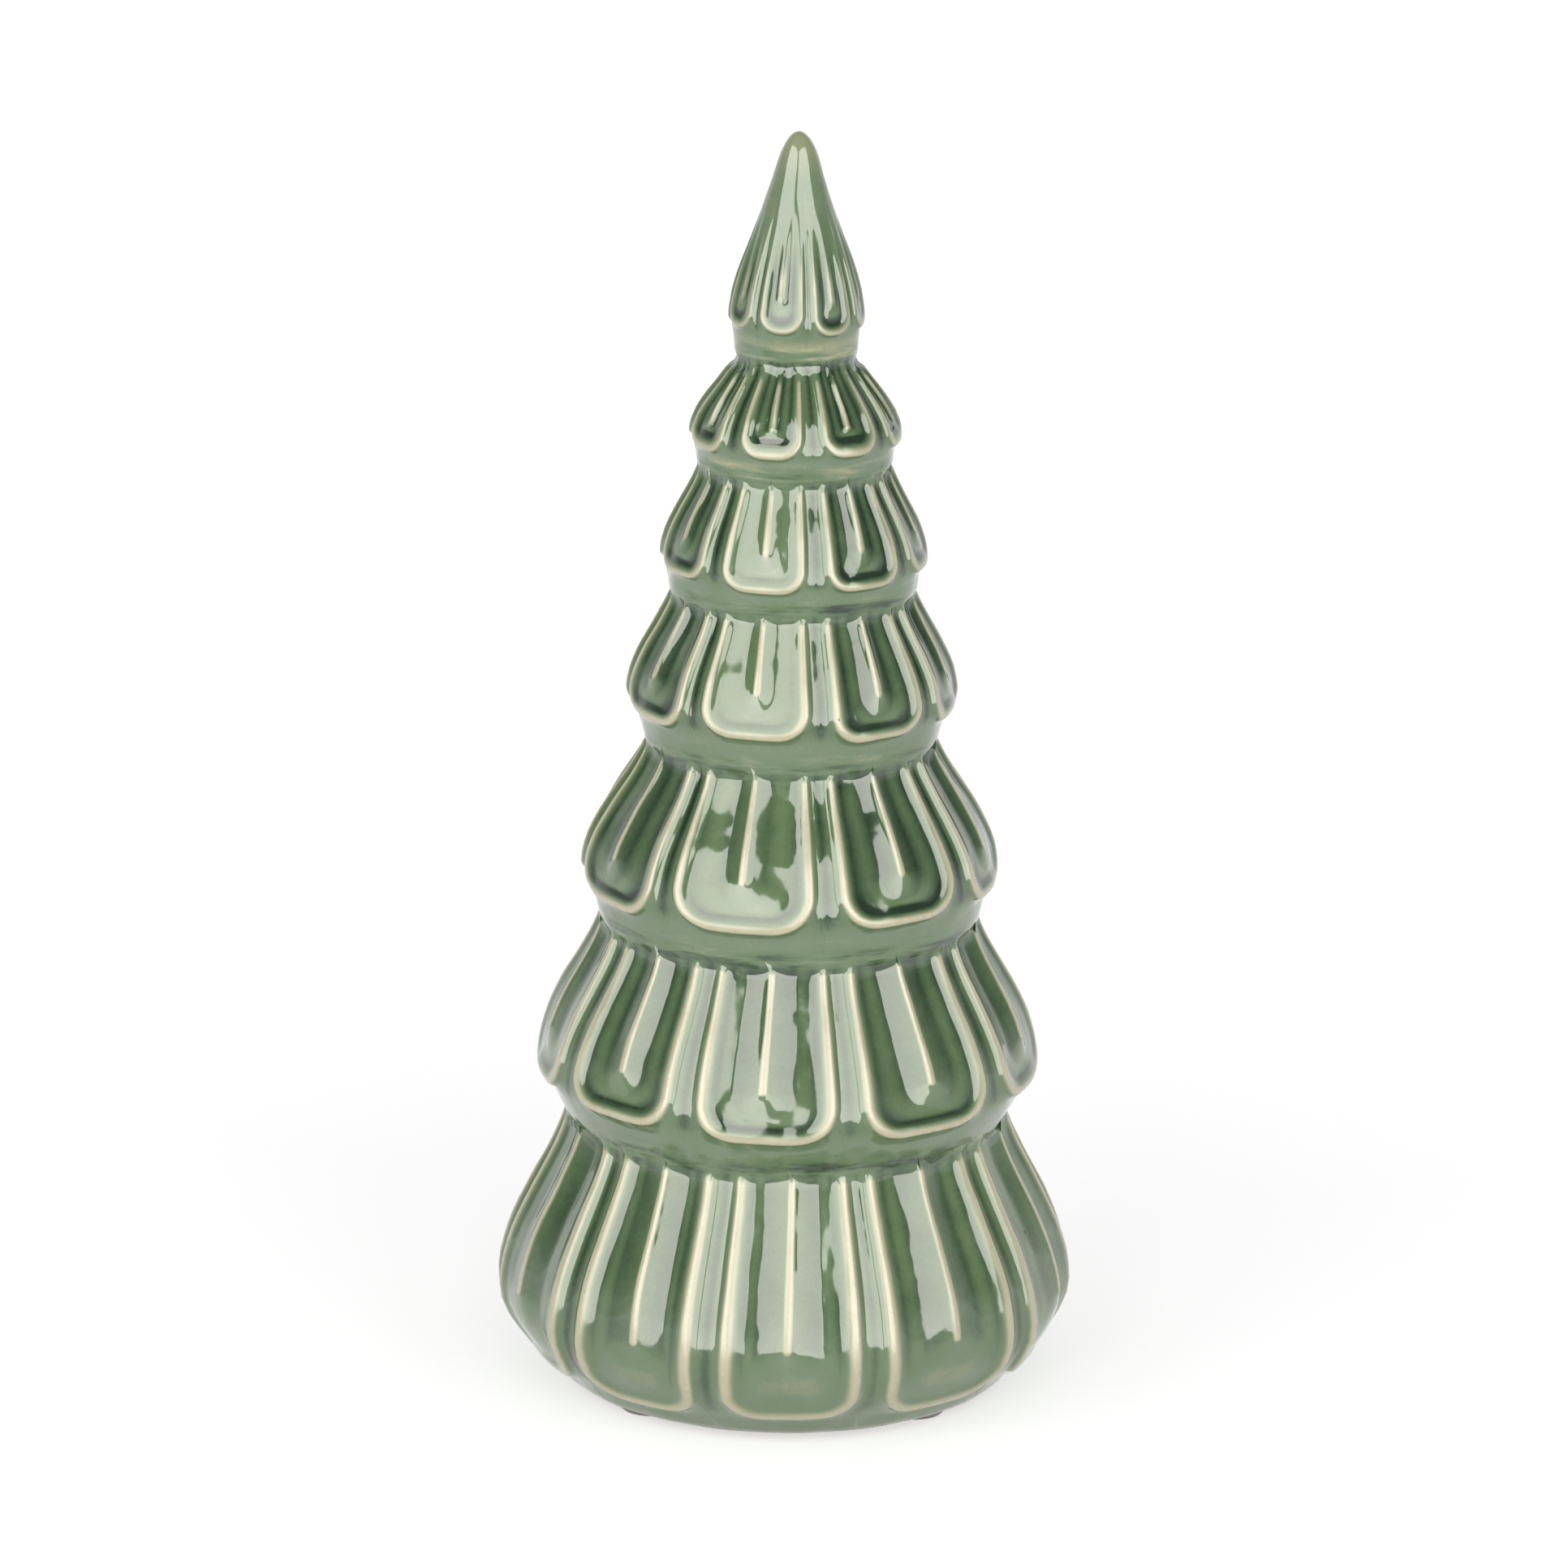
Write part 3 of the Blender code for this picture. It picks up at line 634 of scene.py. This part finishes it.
    def finish(self):
        """Moves the grids' points to their places, with the slight unevenness of a cast and wiped surface."""
        ring = self.ring
        for name in ("raised", "pool", "band", "crease", "tone"):
            ring = self.store(ring, name, getattr(self, name))
        radius = self.radius - self.depth * self.out_radius
        height = self.height - self.depth * self.out_height
        place = self.rule("ShaderNodeCombineXYZ", {
            0: radius * self.azimuth.sine(), 1: radius * self.azimuth.cosine() * -1.0, 2: height})
        ring = self.rule("GeometryNodeSetPosition", {"Geometry": ring, "Position": place})
        ring = self.rule("GeometryNodeMergeByDistance", {"Geometry": ring, "Distance": MERGE})
        position = self.rule("GeometryNodeInputPosition")
        unevenness = self.rule("ShaderNodeTexNoise", {"Vector": position, "Scale": HAND_SCALE, "Detail": 1.0})
        unevenness = unevenness * off_axis(self.tree, position).smooth(0.0, TIP_REACH)
        normal = self.rule("GeometryNodeInputNormal")
        inward = self.rule("ShaderNodeVectorMath", {0: normal, "Scale": unevenness * -HAND_DEPTH},
                           operation="SCALE")
        ring = self.rule("GeometryNodeSetPosition", {"Geometry": ring, "Offset": inward})
        end_tree(self.tree, ring, self.given["Glaze"])


SEAM_SPACE = 0.35 * MM
SIDE_COLUMNS = (18, 15, 14, 12, 10, 9, 20)
SIDE_CLOSENESS = 1.3
BUD_CLOSENESS = 1.8
SEED_STEP = 11


def leaf_values(sizes, leaves, level, outline, glaze):
    """What the leaf ring's inputs are on one tier."""
    is_bud = sizes.neck_radii[level] == 0
    values = {
        "Leaves": leaves.counts[level],
        "Level": level,
        "Rim Run": float(np.sum(np.hypot(*np.diff(outline[:, :OUTLINE_STEPS])))),
        "Rim Radius": sizes.rim_radii[level],
        "Top Run": 0.0 if is_bud else SEAM_SPACE,
        "Seam Space": SEAM_SPACE,
        "Side Columns": SIDE_COLUMNS[level],
        "Side Closeness": BUD_CLOSENESS if is_bud else SIDE_CLOSENESS,
        "Seed": SEED_STEP * level,
        "Glaze": glaze,
    }
    for label in SIZE_INPUTS:
        size = getattr(leaves, plain(label))
        values[label] = size if isinstance(size, float) else size[level]
    return values


def outline_mesh(outline):
    mesh = bpy.data.meshes.new("outline")
    verts = [(radius, 0.0, height) for radius, height in zip(*outline)]
    mesh.from_pydata(verts, [(k, k + 1) for k in range(len(verts) - 1)], [])
    return mesh


# The closed body

TIP_BORDER = 4 * MM
HOLLOW_SIDES = 72
LIP = 1.2 * MM
LIP_STEPS = 4
LIP_START = 2.6 * LIP
FOOT_INSET = 1.2 * MM
FLOOR_INSET = 2 * MM


def azimuth_of(vertex):
    return atan2(vertex.co.x, -vertex.co.y) % (2 * pi)


def open_rings(bm, first):
    """The open border of the vertices from number first on, as an upper and a lower ring by azimuth.

    The bud is closed at its tip, so that it has only a lower ring.
    """
    fresh = [vertex for vertex in bm.verts[first:] if vertex.is_boundary]
    heights = [vertex.co.z for vertex in fresh]
    low, high = min(heights), max(heights)
    middle = (low + high) / 2 if high - low > TIP_BORDER else high
    upper = sorted((vertex for vertex in fresh if vertex.co.z > middle), key=azimuth_of)
    lower = sorted((vertex for vertex in fresh if vertex.co.z <= middle), key=azimuth_of)
    return upper, lower


def lace(bm, upper, lower, material=0):
    """Triangles between two closed rings of unlike count, each vertex joined to the nearest azimuth."""
    rings = []
    for ring in (upper, lower):
        angles = [azimuth_of(vertex) for vertex in ring]
        rings.append((ring + ring[:1], angles + [angles[0] + 2 * pi, inf]))
    (top, top_angles), (low, low_angles) = rings
    i = j = 0
    while i < len(top) - 1 or j < len(low) - 1:
        if top_angles[i + 1] < low_angles[j + 1]:
            face = bm.faces.new([top[i], top[i + 1], low[j]])
            i += 1
        else:
            face = bm.faces.new([top[i], low[j + 1], low[j]])
            j += 1
        face.material_index = material


def hollow_outline(sizes):
    """The foot ring, the pour hole's lips and the hollow, as (radius, height), and the hollow's top."""
    foot = sizes.foot_height
    hole = sizes.pour_hole_radius
    roof = foot + sizes.floor_thickness
    turns = [pi / 2 * k / LIP_STEPS for k in range(LIP_STEPS + 1)]
    places = [(sizes.foot_radius - FOOT_INSET, foot), (hole + LIP_START, foot)]
    places += [(hole + LIP * (1 - sin(turn)), foot + LIP * (1 - cos(turn))) for turn in turns]
    places += [(hole + LIP * (1 - cos(turn)), roof - LIP * (1 - sin(turn))) for turn in turns]
    places.append((sizes.foot_radius - FLOOR_INSET, roof))
    neck = foot
    for level in range(TIERS - 1):
        places.append((sizes.rim_radii[level] - sizes.wall, neck + sizes.rim_rises[level]))
        neck += sizes.heights[level]
        places.append((sizes.neck_radii[level] - sizes.wall, neck))
    return places[:-1], neck - sizes.wall / 2


def line_hollow(bm, sizes, outer):
    """Closes the body below with the foot ring, the pour hole and the hollow, all in bare clay."""
    places, apex = hollow_outline(sizes)
    turns = [2 * pi * (k + 0.5) / HOLLOW_SIDES for k in range(HOLLOW_SIDES)]
    rings = [[bm.verts.new((radius * sin(turn), -radius * cos(turn), height)) for turn in turns]
             for radius, height in places]
    top = bm.verts.new((0, 0, apex))
    lace(bm, outer, rings[0], 1)
    for upper, lower in zip(rings, rings[1:] + [None]):
        for k in range(HOLLOW_SIDES):
            after = (k + 1) % HOLLOW_SIDES
            rest = [lower[after], lower[k]] if lower else [top]
            bm.faces.new([upper[k], upper[after], *rest]).material_index = 1


def mesh_of(bm, name):
    mesh = bpy.data.meshes.new(name)
    bm.to_mesh(mesh)
    bm.free()
    return mesh


def finish_piece(name, bm, materials, crease):
    """Makes the mesh an object at the origin, smooth but for edges sharper than crease degrees."""
    bmesh.ops.recalc_face_normals(bm, faces=bm.faces)
    mesh = mesh_of(bm, name)
    for material in materials:
        mesh.materials.append(material)
    mesh.shade_smooth()
    mesh.set_sharp_from_angle(angle=radians(crease))
    return add_object(name, mesh)


# Finishes

# Heights between which the glaze changes towards the upper and the lower tiers
HIGH_TIERS = (0.115, 0.165)
LOW_TIERS = (0.055, 0.095)
WORN_TIP = (SHELL_HIGH.z - 8 * MM, SHELL_HIGH.z - 1 * MM)
WORN_TIP_BLUR = 3 * MM
PIT_COLOUR = (0.05, 0.055, 0.035, 1.0)
RARE_PIT = 0.93
PIT_EDGE = (0.03, 0.06)


def new_material(name):
    material = bpy.data.materials.new(name)
    material.use_nodes = True
    tree = material.node_tree
    tree.nodes.clear()
    return material, tree


def attribute(tree, name):
    return add(tree, "ShaderNodeAttribute", output="Fac", attribute_name=name)


def object_place(tree, scale=(1.0, 1.0, 1.0)):
    """A point's place on its object, so that a finish stays with its piece."""
    place = add(tree, "ShaderNodeTexCoord", output="Object")
    return add(tree, "ShaderNodeMapping", {"Vector": place, "Scale": scale})


def noise(tree, place, scale, detail=2.0, rough=0.5):
    return add(tree, "ShaderNodeTexNoise", {
        "Vector": place, "Scale": scale, "Detail": detail, "Roughness": rough})


def ramp(tree, share, stops):
    """A colour ramp from (place, colour) pairs."""
    node = add_node(tree, "ShaderNodeValToRGB", {0: share})
    elements = node.color_ramp.elements
    while len(elements) < len(stops):
        elements.new(0.5)
    for element, (place, shade) in zip(elements, stops):
        element.position = place
        element.color = (*shade, 1.0)
    return node.outputs[0]


def mottled(tree, share, shade, stops):
    """A ramp of one colour, darker and lighter by the factors in (place, factor) pairs."""
    shades = [(place, [min(part * factor, 1.0) for part in shade]) for place, factor in stops]
    return ramp(tree, share, shades)


def lay_over(tree, share, under, over):
    return add(tree, "ShaderNodeMix", {0: share, 6: under, 7: over}, 2, data_type="RGBA")


def bump(tree, strength, distance, height):
    return add(tree, "ShaderNodeBump", {"Strength": strength, "Distance": distance, "Height": height})


def end_surface(tree, looks):
    add_node(tree, "ShaderNodeOutputMaterial", {0: add(tree, "ShaderNodeBsdfPrincipled", looks)})


def glaze_material(colours):
    """Translucent celadon: cream where it breaks over the raised lines, dark where it pools, with painted
    light and shade in its pool and crease masks.
    """
    material, tree = new_material("celadon_glaze")
    names = ("raised", "pool", "band", "crease", "tone")
    raised, pool, band, crease, tone = (attribute(tree, name) for name in names)
    place = object_place(tree)
    height = split(tree, place)[2]
    clouds = noise(tree, place, 150.0, 3.0, 0.6)
    flecks = noise(tree, place, 1400.0, 2.0, 0.7)
    streaks = noise(tree, object_place(tree, (1.0, 1.0, 7.0)), 90.0, 3.0, 0.65)
    high = height.smooth(*HIGH_TIERS)
    low = 1 - height.smooth(*LOW_TIERS)
    thin = (raised + (clouds - 0.5) * 0.35).smooth(0.42 - low * 0.12, 1.0)
    # The pool and crease attributes bring painted light and painted shade into this thickness, and so into
    # the glaze's colour
    thickness_and_painted_light = 0.43 + pool * (0.68 - low * 0.2) + (clouds - 0.5) * 0.28 + (tone - 0.5) * 0.07
    thickness_and_painted_light = thickness_and_painted_light - high * (0.02 + band * (0.1 + (1 - band) * 0.7))
    thickness_and_painted_light = thickness_and_painted_light + (streaks - 0.5) * band * 0.6 + (flecks - 0.5) * 0.12
    # Darker streaks in the necks' creases: glaze pooling, partly painted shade under the tier above
    thickness_and_painted_light = thickness_and_painted_light + crease * (streaks * 1.4 - 0.45).most(0.0)
    thickness_and_painted_light = thickness_and_painted_light * (1 - thin)
    glaze = ramp(tree, thickness_and_painted_light, (
        (0.0, colours.crest), (0.2, colours.edge), (0.42, colours.band), (0.62, colours.field),
        (0.8, colours.channel), (1.0, colours.pool)))
    at_tip = (height + (clouds - 0.5) * WORN_TIP_BLUR).smooth(*WORN_TIP)
    glaze = lay_over(tree, at_tip * 0.9, glaze, (*colours.tip, 1.0))
    pits = add_node(tree, "ShaderNodeTexVoronoi", {"Vector": place, "Scale": 130.0}).outputs
    rare = add(tree, "ShaderNodeSeparateColor", {0: pits["Color"]}).above(RARE_PIT)
    pit = (1 - Rule(tree, pits["Distance"]).smooth(*PIT_EDGE)) * rare
    glaze = lay_over(tree, pit * 0.85, glaze, PIT_COLOUR)
    waves = noise(tree, place, 190.0, 1.0, 0.4) * 1.3 + noise(tree, place, 1100.0, 1.0, 0.5) * 0.02
    roughness = 0.05 + noise(tree, place, 400.0, 2.0) * 0.05 + pit * 0.3 + thin * 0.2
    end_surface(tree, {"Base Color": glaze, "Roughness": roughness, "IOR": 1.6, "Specular IOR Level": 0.65,
                       "Normal": bump(tree, 0.35, 0.35 * MM, waves - pit * 0.6)})
    return material


def clay_material(colours):
    """Bare fired clay of the foot ring and the hollow: buff, matt and finely speckled."""
    material, tree = new_material("bare_clay")
    place = object_place(tree)
    clouds = noise(tree, place, 120.0, 4.0, 0.6)
    grit = noise(tree, place, 2600.0, 2.0, 0.8)
    shade = mottled(tree, clouds * 0.6 + grit * 0.4, colours.clay, ((0.3, 0.72), (0.52, 1.0), (0.7, 1.25)))
    end_surface(tree, {"Base Color": shade, "Roughness": 0.82 + (grit - 0.5) * 0.2,
                       "Normal": bump(tree, 0.5, 0.1 * MM, grit + clouds * 0.5)})
    return material


def felt_material(colours):
    """Dense grey wool felt: mottled, matt, with matted fibres."""
    material, tree = new_material("wool_felt")
    fibres = noise(tree, object_place(tree, (1.0, 3.0, 1.0)), 1500.0, 4.0, 0.75)
    clouds = noise(tree, object_place(tree), 500.0)
    shade = mottled(tree, fibres * 0.6 + clouds * 0.4, colours.felt, ((0.3, 0.6), (0.5, 1.0), (0.72, 1.4)))
    end_surface(tree, {"Base Color": shade, "Roughness": 0.95, "Sheen Weight": 0.4, "Sheen Roughness": 0.5,
                       "Normal": bump(tree, 0.8, 0.12 * MM, fibres)})
    return material


# Felt pads

PAD_SIDES = 48
PAD_EDGE = 0.2 * MM
FUZZ = {"Density": 9e6, "Fibre Length": 0.45 * MM, "Fibre Radius": 0.02 * MM}
SIDE_SLOPE = 0.6
LEAST_TILT = (-0.9, -0.9, 0.0)
MOST_TILT = (0.9, 0.9, 6.28)


def felt_fuzz_tree():
    """Scatters short tilted fibres over the side of a felt pad, and keeps them off the table."""
    tree, given = geometry_tree("felt_fuzz", {
        "Density": "Float", "Fibre Length": "Float", "Fibre Radius": "Float", "Seed": "Int",
        "Felt": "Material"})
    level = split(tree, add(tree, "GeometryNodeInputNormal"))[2].size()
    on_side = add(tree, "FunctionNodeCompare", {0: level, 1: SIDE_SLOPE}, operation="LESS_THAN")
    spread = add_node(tree, "GeometryNodeDistributePointsOnFaces", {
        "Mesh": given["Geometry"], "Selection": on_side, "Density": given["Density"], "Seed": given["Seed"]})
    fibre = add(tree, "GeometryNodeMeshCone", {
        "Vertices": 3, "Radius Top": 0.0, "Radius Bottom": given["Fibre Radius"],
        "Depth": given["Fibre Length"]})
    tilt = add(tree, "FunctionNodeRandomValue", {0: LEAST_TILT, 1: MOST_TILT, 8: given["Seed"]},
               data_type="FLOAT_VECTOR")
    turned = add(tree, "FunctionNodeRotateRotation", {0: spread.outputs["Rotation"], 1: tilt},
                 rotation_space="LOCAL")
    laid = add(tree, "GeometryNodeInstanceOnPoints", {
        "Points": spread.outputs["Points"], "Instance": fibre, "Rotation": turned})
    joined = add_node(tree, "GeometryNodeJoinGeometry")
    for geometry in (given["Geometry"], laid.socket):
        tree.links.new(geometry, joined.inputs[0])
    across, along, up = split(tree, add(tree, "GeometryNodeInputPosition"))
    lifted = add(tree, "ShaderNodeCombineXYZ", {0: across, 1: along, 2: up.most(0.0)})
    real = add(tree, "GeometryNodeRealizeInstances", {0: joined.outputs[0]})
    above = add(tree, "GeometryNodeSetPosition", {"Geometry": real, "Position": lifted})
    end_tree(tree, above, given["Felt"])
    return tree


def felt_disc(low, high):
    """A pad's disc with both edges softened, in the box of its CAD node."""
    bm = bmesh.new()
    radius = (high.x - low.x) / 2 - PAD_EDGE
    bmesh.ops.create_cone(bm, cap_ends=True, segments=PAD_SIDES, radius1=radius, radius2=radius,
                          depth=high.z - low.z)
    rims = [each for each in bm.edges if abs(each.verts[0].co.z - each.verts[1].co.z) < PAD_EDGE]
    bmesh.ops.bevel(bm, geom=rims, offset=PAD_EDGE, segments=3, affect="EDGES")
    bm.transform(Matrix.Translation((low + high) / 2))
    return mesh_of(bm, "felt_disc")


# Operators

class GLAZED_OT_tree_body(bpy.types.Operator):
    """Builds the hollow casting with its rings of leaves and its celadon glaze"""
    bl_idname = "glazed_tree.tree_body"
    bl_label = "Tree Body"
    bl_options = {"REGISTER", "UNDO"}

    def execute(self, context):
        sizes, leaves = context.scene.tree_sizes, context.scene.leaf_sizes
        glaze = glaze_material(context.scene.glaze_colours)
        clay = clay_material(context.scene.glaze_colours)
        tree = LeafRing().tree
        bm = bmesh.new()
        above = None
        for level, outline in reversed([*enumerate(tree_outlines(sizes))]):
            values = leaf_values(sizes, leaves, level, outline, glaze)
            mesh = run_tree(tree, "leaves", outline_mesh(outline), values)
            first = len(bm.verts)
            mesh.polygons.foreach_set("material_index", [0] * len(mesh.polygons))
            bm.from_mesh(mesh)
            bpy.data.meshes.remove(mesh)
            bm.verts.ensure_lookup_table()
            upper, lower = open_rings(bm, first)
            if above:
                lace(bm, above, upper)
            above = lower
        line_hollow(bm, sizes, above)
        body = finish_piece("glazed_tree", bm, (glaze, clay), 70)
        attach(body, "root")
        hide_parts("tree_shell")
        return {"FINISHED"}


class GLAZED_OT_felt_pads(bpy.types.Operator):
    """Builds the four fuzzy felt pads under the foot ring"""
    bl_idname = "glazed_tree.felt_pads"
    bl_label = "Felt Pads"
    bl_options = {"REGISTER", "UNDO"}

    def execute(self, context):
        felt = felt_material(context.scene.glaze_colours)
        tree = felt_fuzz_tree()
        for number, node in enumerate(PAD_NODES, start=1):
            low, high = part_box(node)
            mesh = run_tree(tree, "fuzz", felt_disc(low, high), {**FUZZ, "Seed": number, "Felt": felt})
            mesh.name = f"felt_pad_{number}_dressed"
            mesh.shade_smooth()
            pad = add_object(mesh.name, mesh)
            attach(pad, "root")
            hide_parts(node)
        return {"FINISHED"}


class GLAZED_OT_stage(bpy.types.Operator):
    """Sets up the pale floor, the grey room, the two softboxes and the photograph's camera"""
    bl_idname = "glazed_tree.stage"
    bl_label = "Stage"
    bl_options = {"REGISTER", "UNDO"}

    def execute(self, context):
        studio = context.scene.studio_settings
        lay_floor()
        fill_room(context.scene, studio.room_level)
        for name, (azimuth, width) in SOFTBOXES.items():
            hang_softbox(studio, name, azimuth, width)
        set_camera(context.scene, studio)
        context.scene.view_settings.view_transform = "Standard"
        return {"FINISHED"}


# The studio

TABLE_SIDE, TABLE_FRONT, TABLE_BACK = 2.5, -0.22, 3.0
TABLE_WHITE = (0.8, 0.8, 0.8, 1.0)
TABLE_GLOW = (0.56, 0.68)
TABLE_GLOW_REACH = (0.08, 0.5)
ROOM_BEHIND = (0.32, 0.72)
ROOM_LOW = (0.0, 0.3)
ROOM_LOW_LEVEL = 0.7
ROOM_MIRRORED = (0.16, 1.0)
SOFTBOXES = {"softbox_left": (-38.0, 54.0), "softbox_right": (27.3, 57.4)}
SOFTBOX_EDGES = (-13, 43)
SOFTBOX_DISTANCE = 1.7
SOFTBOX_EYE = 0.1
MIRRORED_AHEAD = 0.05
MIRRORED_COLOUR = (1.0, 0.985, 0.93)
WHITE = (1.0, 1.0, 1.0)
CAMERA_SHIFT = -0.0041


def rays(tree, *kinds):
    """1 for the rays of the named kinds and 0 for others."""
    first, *others = (add(tree, "ShaderNodeLightPath", output=f"Is {kind} Ray") for kind in kinds)
    for other in others:
        first = first.most(other)
    return first


def lay_floor():
    """A white table whose front edge is just outside the photograph's frame."""
    bm = bmesh.new()
    corners = ((-TABLE_SIDE, TABLE_FRONT), (TABLE_SIDE, TABLE_FRONT), (TABLE_SIDE, TABLE_BACK),
               (-TABLE_SIDE, TABLE_BACK))
    bm.faces.new([bm.verts.new((x, y, 0.0)) for x, y in corners])
    mesh = mesh_of(bm, "white_table")
    floor = add_object("white_table", mesh)
    material, tree = new_material("white_table")
    paint = add(tree, "ShaderNodeBsdfDiffuse", {"Color": TABLE_WHITE})
    away = off_axis(tree, object_place(tree))
    level = mix(*TABLE_GLOW, away.smooth(*TABLE_GLOW_REACH))
    shown = rays(tree, "Camera", "Glossy", "Transmission")
    lift = add(tree, "ShaderNodeEmission", {"Strength": shown * level})
    both = add(tree, "ShaderNodeAddShader", {0: paint, 1: lift})
    add_node(tree, "ShaderNodeOutputMaterial", {0: both})
    mesh.materials.append(material)


def fill_room(scene, level):
    """A plain grey room that shows white to the camera, and in reflections grows pale behind and below."""
    world = bpy.data.worlds.new("studio")
    scene.world = world
    world.use_nodes = True
    tree = world.node_tree
    tree.nodes.clear()
    _, back, up = split(tree, add(tree, "ShaderNodeTexCoord", output="Generated"))
    low = (1 - up.smooth(*ROOM_LOW)) * ROOM_LOW_LEVEL
    mirrored = mix(*ROOM_MIRRORED, back.smooth(*ROOM_BEHIND).most(low))
    strength = mix(mix(level, mirrored, rays(tree, "Glossy")), 1.0, rays(tree, "Camera", "Transmission"))
    room = add(tree, "ShaderNodeBackground", {"Color": (*WHITE, 1.0), "Strength": strength})
    add_node(tree, "ShaderNodeOutputWorld", {0: room})


def hang_softbox(studio, name, azimuth, width):
    """An upright softbox that is width degrees wide, seen from the tree, as a light and a mirrored light."""
    low, high = (SOFTBOX_EYE + SOFTBOX_DISTANCE * tan(radians(edge)) for edge in SOFTBOX_EDGES)
    turn = radians(azimuth)
    towards = Vector((sin(turn), -cos(turn), 0.0))
    for mirrored, level in ((False, studio.softbox_level), (True, studio.mirror_level)):
        light = bpy.data.lights.new(name, "AREA")
        light.shape = "RECTANGLE"
        light.size = 2 * SOFTBOX_DISTANCE * tan(radians(width / 2))
        light.size_y = high - low
        light.energy = level * pi * light.size * light.size_y
        light.color = MIRRORED_COLOUR if mirrored else WHITE
        lamp = add_object(name + ("_mirrored" if mirrored else ""), light)
        away = SOFTBOX_DISTANCE - MIRRORED_AHEAD * mirrored
        lamp.location = Vector((0.0, 0.0, (low + high) / 2)) + towards * away
        lamp.rotation_euler = towards.to_track_quat("Z", "Y").to_euler()
        lamp.visible_camera = False
        lamp.visible_glossy = mirrored
        lamp.visible_diffuse = not mirrored


def set_camera(scene, studio):
    """The photograph's camera, aimed at the tree's axis from the front."""
    camera = bpy.data.cameras.new("photo_camera")
    camera.lens = studio.lens
    camera.sensor_width = 36.0
    camera.shift_x = CAMERA_SHIFT
    camera.clip_start, camera.clip_end = 0.05, 20.0
    holder = add_object("photo_camera", camera)
    back = Vector((0.0, -cos(studio.elevation), sin(studio.elevation)))
    holder.location = Vector((0.0, 0.0, studio.aim_height)) + back * studio.distance
    turned = back.to_track_quat("Z", "Y").to_matrix() @ Matrix.Rotation(studio.roll, 3, "Z")
    holder.rotation_euler = turned.to_euler()
    scene.camera = holder


class GLAZED_PT_panel(bpy.types.Panel):
    """The steps that build the tree"""
    bl_idname = "GLAZED_PT_panel"
    bl_label = "Glazed Tree"
    bl_space_type = "VIEW_3D"
    bl_region_type = "UI"
    bl_category = "Glazed Tree"

    def draw(self, context):
        for step in (GLAZED_OT_tree_body, GLAZED_OT_felt_pads, GLAZED_OT_stage):
            self.layout.operator(step.bl_idname)


GROUPS = {"tree_sizes": TreeSizes, "leaf_sizes": LeafSizes, "glaze_colours": GlazeColours,
          "studio_settings": StudioSettings}
CLASSES = (*GROUPS.values(), GLAZED_OT_tree_body, GLAZED_OT_felt_pads, GLAZED_OT_stage, GLAZED_PT_panel)


def register():
    for each in CLASSES:
        bpy.utils.register_class(each)
    for name, group in GROUPS.items():
        setattr(bpy.types.Scene, name, PointerProperty(type=group))


def unregister():
    for name in GROUPS:
        delattr(bpy.types.Scene, name)
    for each in reversed(CLASSES):
        bpy.utils.unregister_class(each)


def main():
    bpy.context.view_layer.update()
    register()
    bpy.ops.glazed_tree.tree_body()
    bpy.ops.glazed_tree.felt_pads()
    bpy.ops.glazed_tree.stage()


if __name__ == "__main__":
    main()
